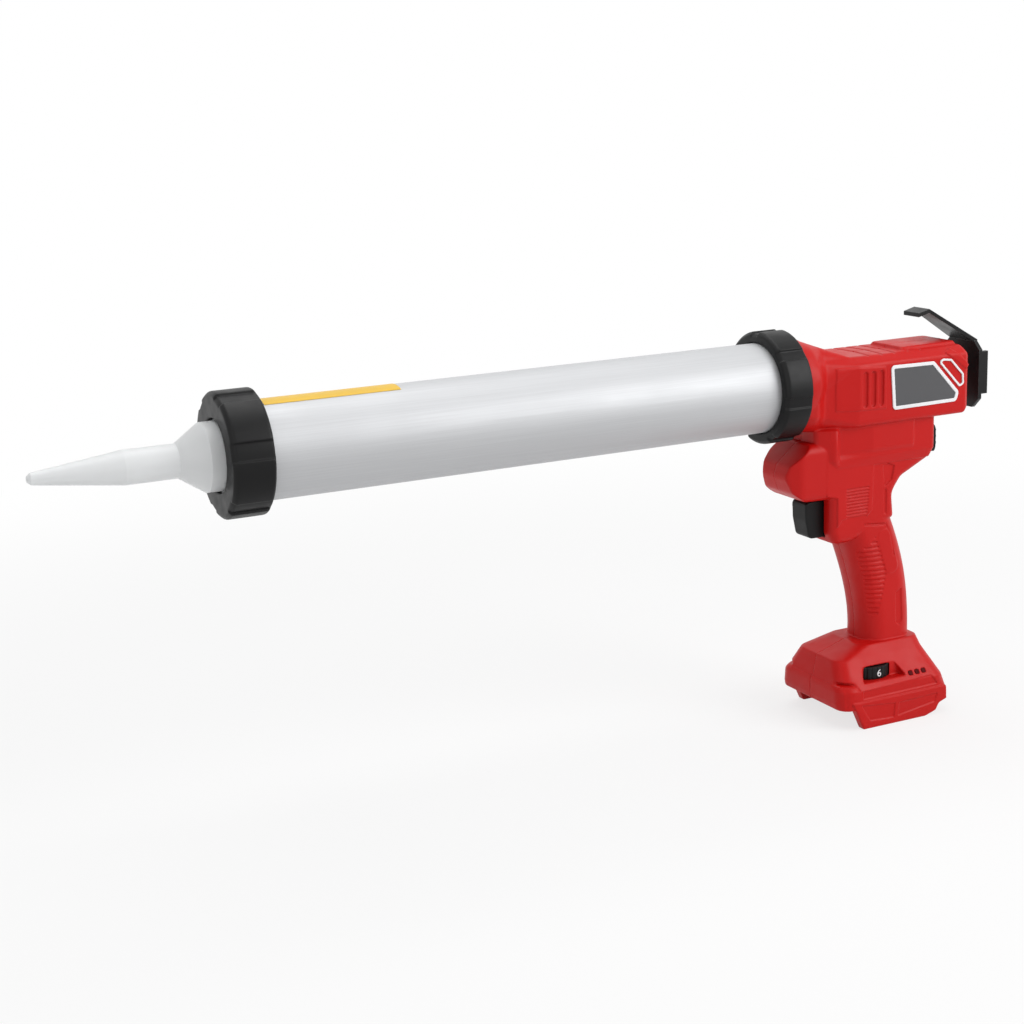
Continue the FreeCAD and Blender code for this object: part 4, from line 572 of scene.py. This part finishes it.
def add_screw(shape, points):
    """One screw along Y with a domed head and a six lobed recess, as large as its CAD solid."""
    xs, ys, zs = zip(*points)
    x, z = (min(xs) + max(xs)) / 2, (min(zs) + max(zs)) / 2
    places = [(math.hypot(p.x - x, p.z - z), p.y) for p in points]
    head = max(r for r, y in places)
    under = min(y for r, y in places if r > SCREW_RIM * head)
    shank = max(r for r, y in places if y < under - SCREW_GAP)
    end, top = min(ys), max(ys)
    profile = [                              # radius, Y, and how far the lobes stand out
        (0.6 * shank, end, 0),               # tip
        (shank, end + shank / 2, 0),
        (shank, under, 0),
        (0.97 * head, under, 0),             # underside and rim of the head
        (head, under + 0.25 * MM, 0),
        (head, top - 0.5 * MM, 0),
        (0.86 * head, top - 0.12 * MM, 0),   # dome
        (0.52 * head, top, 0.08 * head),     # mouth and floor of the recess
        (0.49 * head, top - RECESS_DEPTH, 0.07 * head),
    ]
    rings = []
    for radius, y, lobe in profile:
        ring = []
        for k in range(SCREW_POINTS):
            angle = 2 * math.pi * k / SCREW_POINTS
            reach = radius + lobe * math.cos(RECESS_LOBES * angle)
            ring.append(shape.verts.new((x + reach * math.cos(angle), y, z + reach * math.sin(angle))))
        rings.append(ring)
    for lower, upper in zip(rings, rings[1:]):
        for k in range(SCREW_POINTS):
            after = (k + 1) % SCREW_POINTS
            shape.faces.new((lower[k], lower[after], upper[after], upper[k]))
    shape.faces.new(rings[0])
    shape.faces.new(rings[-1])


def add_screws():
    """The housing screws with finished heads."""
    shape = bmesh.new()
    for points in islands(nodes["housing_screws"].data):
        add_screw(shape, points)
    bmesh.ops.recalc_face_normals(shape, faces=shape.faces)
    piece = new_object("housing_star_screws", mesh_from(shape, "housing_star_screws"))
    settle(piece, "housing", "black_steel", stands_for="housing_screws")


# Thumb pad on the release lever
PAD_HALF_WIDTH = 9.0 * MM
PAD_DEPTH = 5.2 * MM      # how far the pad stands out from its foot
PAD_ROOT = 0.6 * MM       # how deep its foot sits in the lever
PAD_HEIGHT = (0.6 * MM, 17.5 * MM)   # from the lever's lower end
PAD_ROWS, PAD_COLUMNS = 40, 12
PAD_DISH = 1.2 * MM       # hollow for the thumb
PAD_RIBS = 4
PAD_RIB_HEIGHT = 0.22 * MM
PAD_RIB_SPAN = (0.15, 0.85)   # share of the height that has ribs
PAD_ROUNDING = 1.4 * MM   # how far the rims fall away
PAD_SQUARENESS = 6        # power that keeps this near the rims
PAD_FOOT = 0.86           # width of the foot as a share of the pad's width


def pad_relief(up, across):
    """How far the pad's face stands out at a share of its height and from -1 to 1 across it."""
    dish = PAD_DISH * math.sin(math.pi * up) * (1 - across * across)
    ribbed = PAD_RIB_SPAN[0] < up < PAD_RIB_SPAN[1]
    rib = PAD_RIB_HEIGHT * max(0.0, math.sin(2 * math.pi * PAD_RIBS * up)) * ribbed
    edge = PAD_ROUNDING * (abs(2 * up - 1) ** PAD_SQUARENESS + abs(across) ** PAD_SQUARENESS)
    return PAD_DEPTH - dish + rib - edge


def add_lever_pad():
    """Ribbed thumb pad on the back of the release lever, hollowed a little for the thumb."""
    low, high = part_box("release_lever")
    bottom, top = (low[2] + h for h in PAD_HEIGHT)
    back = high[0] - PAD_ROOT
    shape = bmesh.new()
    grid = []
    for i in range(PAD_ROWS + 1):
        up = i / PAD_ROWS
        height = bottom + (top - bottom) * up
        row = []
        for j in range(PAD_COLUMNS + 1):
            across = 2 * j / PAD_COLUMNS - 1
            reach = back + pad_relief(up, across)
            row.append(shape.verts.new((reach, PAD_HALF_WIDTH * across, height)))
        grid.append(row)
    for i in range(PAD_ROWS):
        for j in range(PAD_COLUMNS):
            shape.faces.new((grid[i][j], grid[i][j + 1], grid[i + 1][j + 1], grid[i + 1][j]))
    rim = [e for e in shape.edges if e.is_boundary]
    grown = bmesh.ops.extrude_edge_only(shape, edges=rim)["geom"]
    for vert in grown:
        if isinstance(vert, bmesh.types.BMVert):
            vert.co.x = back
            vert.co.y *= PAD_FOOT
    bmesh.ops.contextual_create(shape, geom=[e for e in shape.edges if e.is_boundary])
    bmesh.ops.recalc_face_normals(shape, faces=shape.faces)
    mesh = mesh_from(shape, "release_lever_pad")
    mesh.shade_smooth()
    settle(new_object("release_lever_pad", mesh), "lever", "black_plastic")


# Numbers on the speed dial
DIAL_NOTCH_DEPTH = 0.6 * MM
DIAL_STEP = math.radians(50)
DIAL_NUMBERS = "654321"   # from the one that shows at rest, clockwise seen from above
NUMBER_HEIGHT = 4.6 * MM
NUMBER_SHARE = 0.7        # of the font's size that is a number's height
NUMBER_LIFT = 0.08 * MM
NUMBER_ROOT = 1.2 * DIAL_NOTCH_DEPTH
NUMBER_WELD = 0.001 * MM


def flat_number(number):
    """A number as a thick flat mesh."""
    text = bpy.data.curves.new("dial_number", "FONT")
    text.body = number
    text.size = NUMBER_HEIGHT / NUMBER_SHARE
    text.align_x = "CENTER"
    text.extrude = DIAL_NOTCH_DEPTH
    flat = new_object("dial_number", text)
    mesh = finished_mesh(flat)
    bpy.data.objects.remove(flat)
    return mesh


def add_dial_numbers():
    """Raised white numbers round the rim, each rooted in the notches."""
    low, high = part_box("speed_dial")
    centre = [(a + b) / 2 for a, b in zip(low, high)]
    outer = (high[0] - low[0]) / 2
    shape = bmesh.new()
    for index, number in enumerate(DIAL_NUMBERS):
        mesh = flat_number(number)
        digit = bmesh.new()
        digit.from_mesh(mesh)
        bmesh.ops.remove_doubles(digit, verts=digit.verts, dist=NUMBER_WELD)
        bmesh.ops.triangulate(digit, faces=digit.faces)
        front = -math.pi / 2 - index * DIAL_STEP
        for vert in digit.verts:
            angle = front + vert.co.x / outer
            reach = outer + (NUMBER_LIFT if vert.co.z > 0 else -NUMBER_ROOT)
            height = centre[2] - NUMBER_HEIGHT / 2 + vert.co.y
            vert.co = (centre[0] + reach * math.cos(angle), centre[1] + reach * math.sin(angle), height)
        digit.to_mesh(mesh)
        digit.free()
        shape.from_mesh(mesh)
    settle(new_object("dial_numbers", mesh_from(shape, "dial_numbers")), "dial", "badge_white")


# Studio
FLOOR_TONE = 0.86
FLOOR_GLOW = 0.74         # share of plain white that the floor shows to the camera and to reflections
FLOOR_FADE = (0.4, 1.0)   # distances from the tool between which the floor goes to plain white
FLOOR_MIDDLE = (0.2, 0.0, 0.0)     # shift of the tool's middle to the floor's origin
FLOOR_REACH = 6.0
WHITE = (1, 1, 1, 1)
WORLD_LIGHT = 0.36
LAMPS = {                 # name: (place, size in metres, energy in watts)
    "key_lamp": ((0.85, -1.15, 1.0), 1.2, 18.5),
    "top_lamp": ((-0.2, 0.3, 1.7), 1.4, 13.0),
    "fill_lamp": ((-1.2, -0.9, 0.7), 1.2, 3.0),
}


def floor_material():
    """Matte to the light, and partly plain white where it is seen, wholly so far from the tool."""
    n = new_material("floor_white")
    shifted = n.add("ShaderNodeVectorMath", {0: n.place, 1: FLOOR_MIDDLE}, operation="ADD")
    away = n.add("ShaderNodeVectorMath", {0: shifted.outputs["Vector"]}, operation="LENGTH")
    glow_share = n.spread(away.outputs["Value"], FLOOR_GLOW, 1.0, FLOOR_FADE,
                          interpolation_type="SMOOTHSTEP")
    matte = n.add("ShaderNodeBsdfDiffuse", {"Color": (FLOOR_TONE, FLOOR_TONE, FLOOR_TONE, 1)})
    glow = n.add("ShaderNodeEmission")
    n.add("ShaderNodeOutputMaterial", {"Surface": n.blend(n.seen(glow_share), matte, glow)})
    return n.owner


def add_floor():
    level = cad_bounds[0][2]
    corners = [(FLOOR_REACH * x, FLOOR_REACH * y, level) for x, y in ((-1, -1), (1, -1), (1, 1), (-1, 1))]
    mesh = bpy.data.meshes.new("studio_floor")
    mesh.from_pydata(corners, [], [(0, 1, 2, 3)])
    floor = new_object("studio_floor", mesh)
    dress(floor, floor_material())


def add_world():
    """Soft light from all round, seen as plain white."""
    n = Nodes(bpy.data.worlds.new("studio_world"))
    soft = n.add("ShaderNodeBackground", {"Color": WHITE, "Strength": WORLD_LIGHT})
    plain = n.add("ShaderNodeBackground", {"Color": WHITE, "Strength": 1.0})
    n.add("ShaderNodeOutputWorld", {"Surface": n.blend(n.seen(1.0), soft, plain)})
    scene.world = n.owner


def add_lamp(name, place, size, energy):
    """Soft square lamp aimed at the middle of the tool."""
    lamp = bpy.data.lights.new(name, "AREA")
    lamp.size = size
    lamp.energy = energy
    obj = new_object(name, lamp)
    obj.location = place
    obj.rotation_euler = (CAMERA_TARGET - Vector(place)).to_track_quat("-Z", "Y").to_euler()


def add_camera():
    """Camera at its distance from the target, turned by azimuth, elevation and roll."""
    angles = (CAMERA_AZIMUTH, CAMERA_ELEVATION, CAMERA_ROLL)
    azimuth, elevation, roll = (math.radians(a) for a in angles)
    forward = Vector((math.sin(azimuth) * math.cos(elevation), math.cos(azimuth) * math.cos(elevation),
                      -math.sin(elevation)))
    level = Vector((math.cos(azimuth), -math.sin(azimuth), 0))
    above = level.cross(forward)
    right = level * math.cos(roll) + above * math.sin(roll)
    up = above * math.cos(roll) - level * math.sin(roll)
    data = bpy.data.cameras.new("photo_camera")
    data.lens = CAMERA_LENS
    camera = new_object("photo_camera", data)
    turn = Matrix((right, up, -forward)).transposed().to_4x4()
    camera.matrix_world = Matrix.Translation(CAMERA_TARGET - forward * CAMERA_DISTANCE) @ turn
    scene.camera = camera


dress_cad_nodes()
for skin_name, skin_terms in SKINS.items():
    add_skin(skin_name, *skin_terms)
add_screws()
add_lever_pad()
add_dial_numbers()
add_floor()
add_world()
for lamp_name, lamp_terms in LAMPS.items():
    add_lamp(lamp_name, *lamp_terms)
add_camera()
scene.view_settings.view_transform = "Standard"
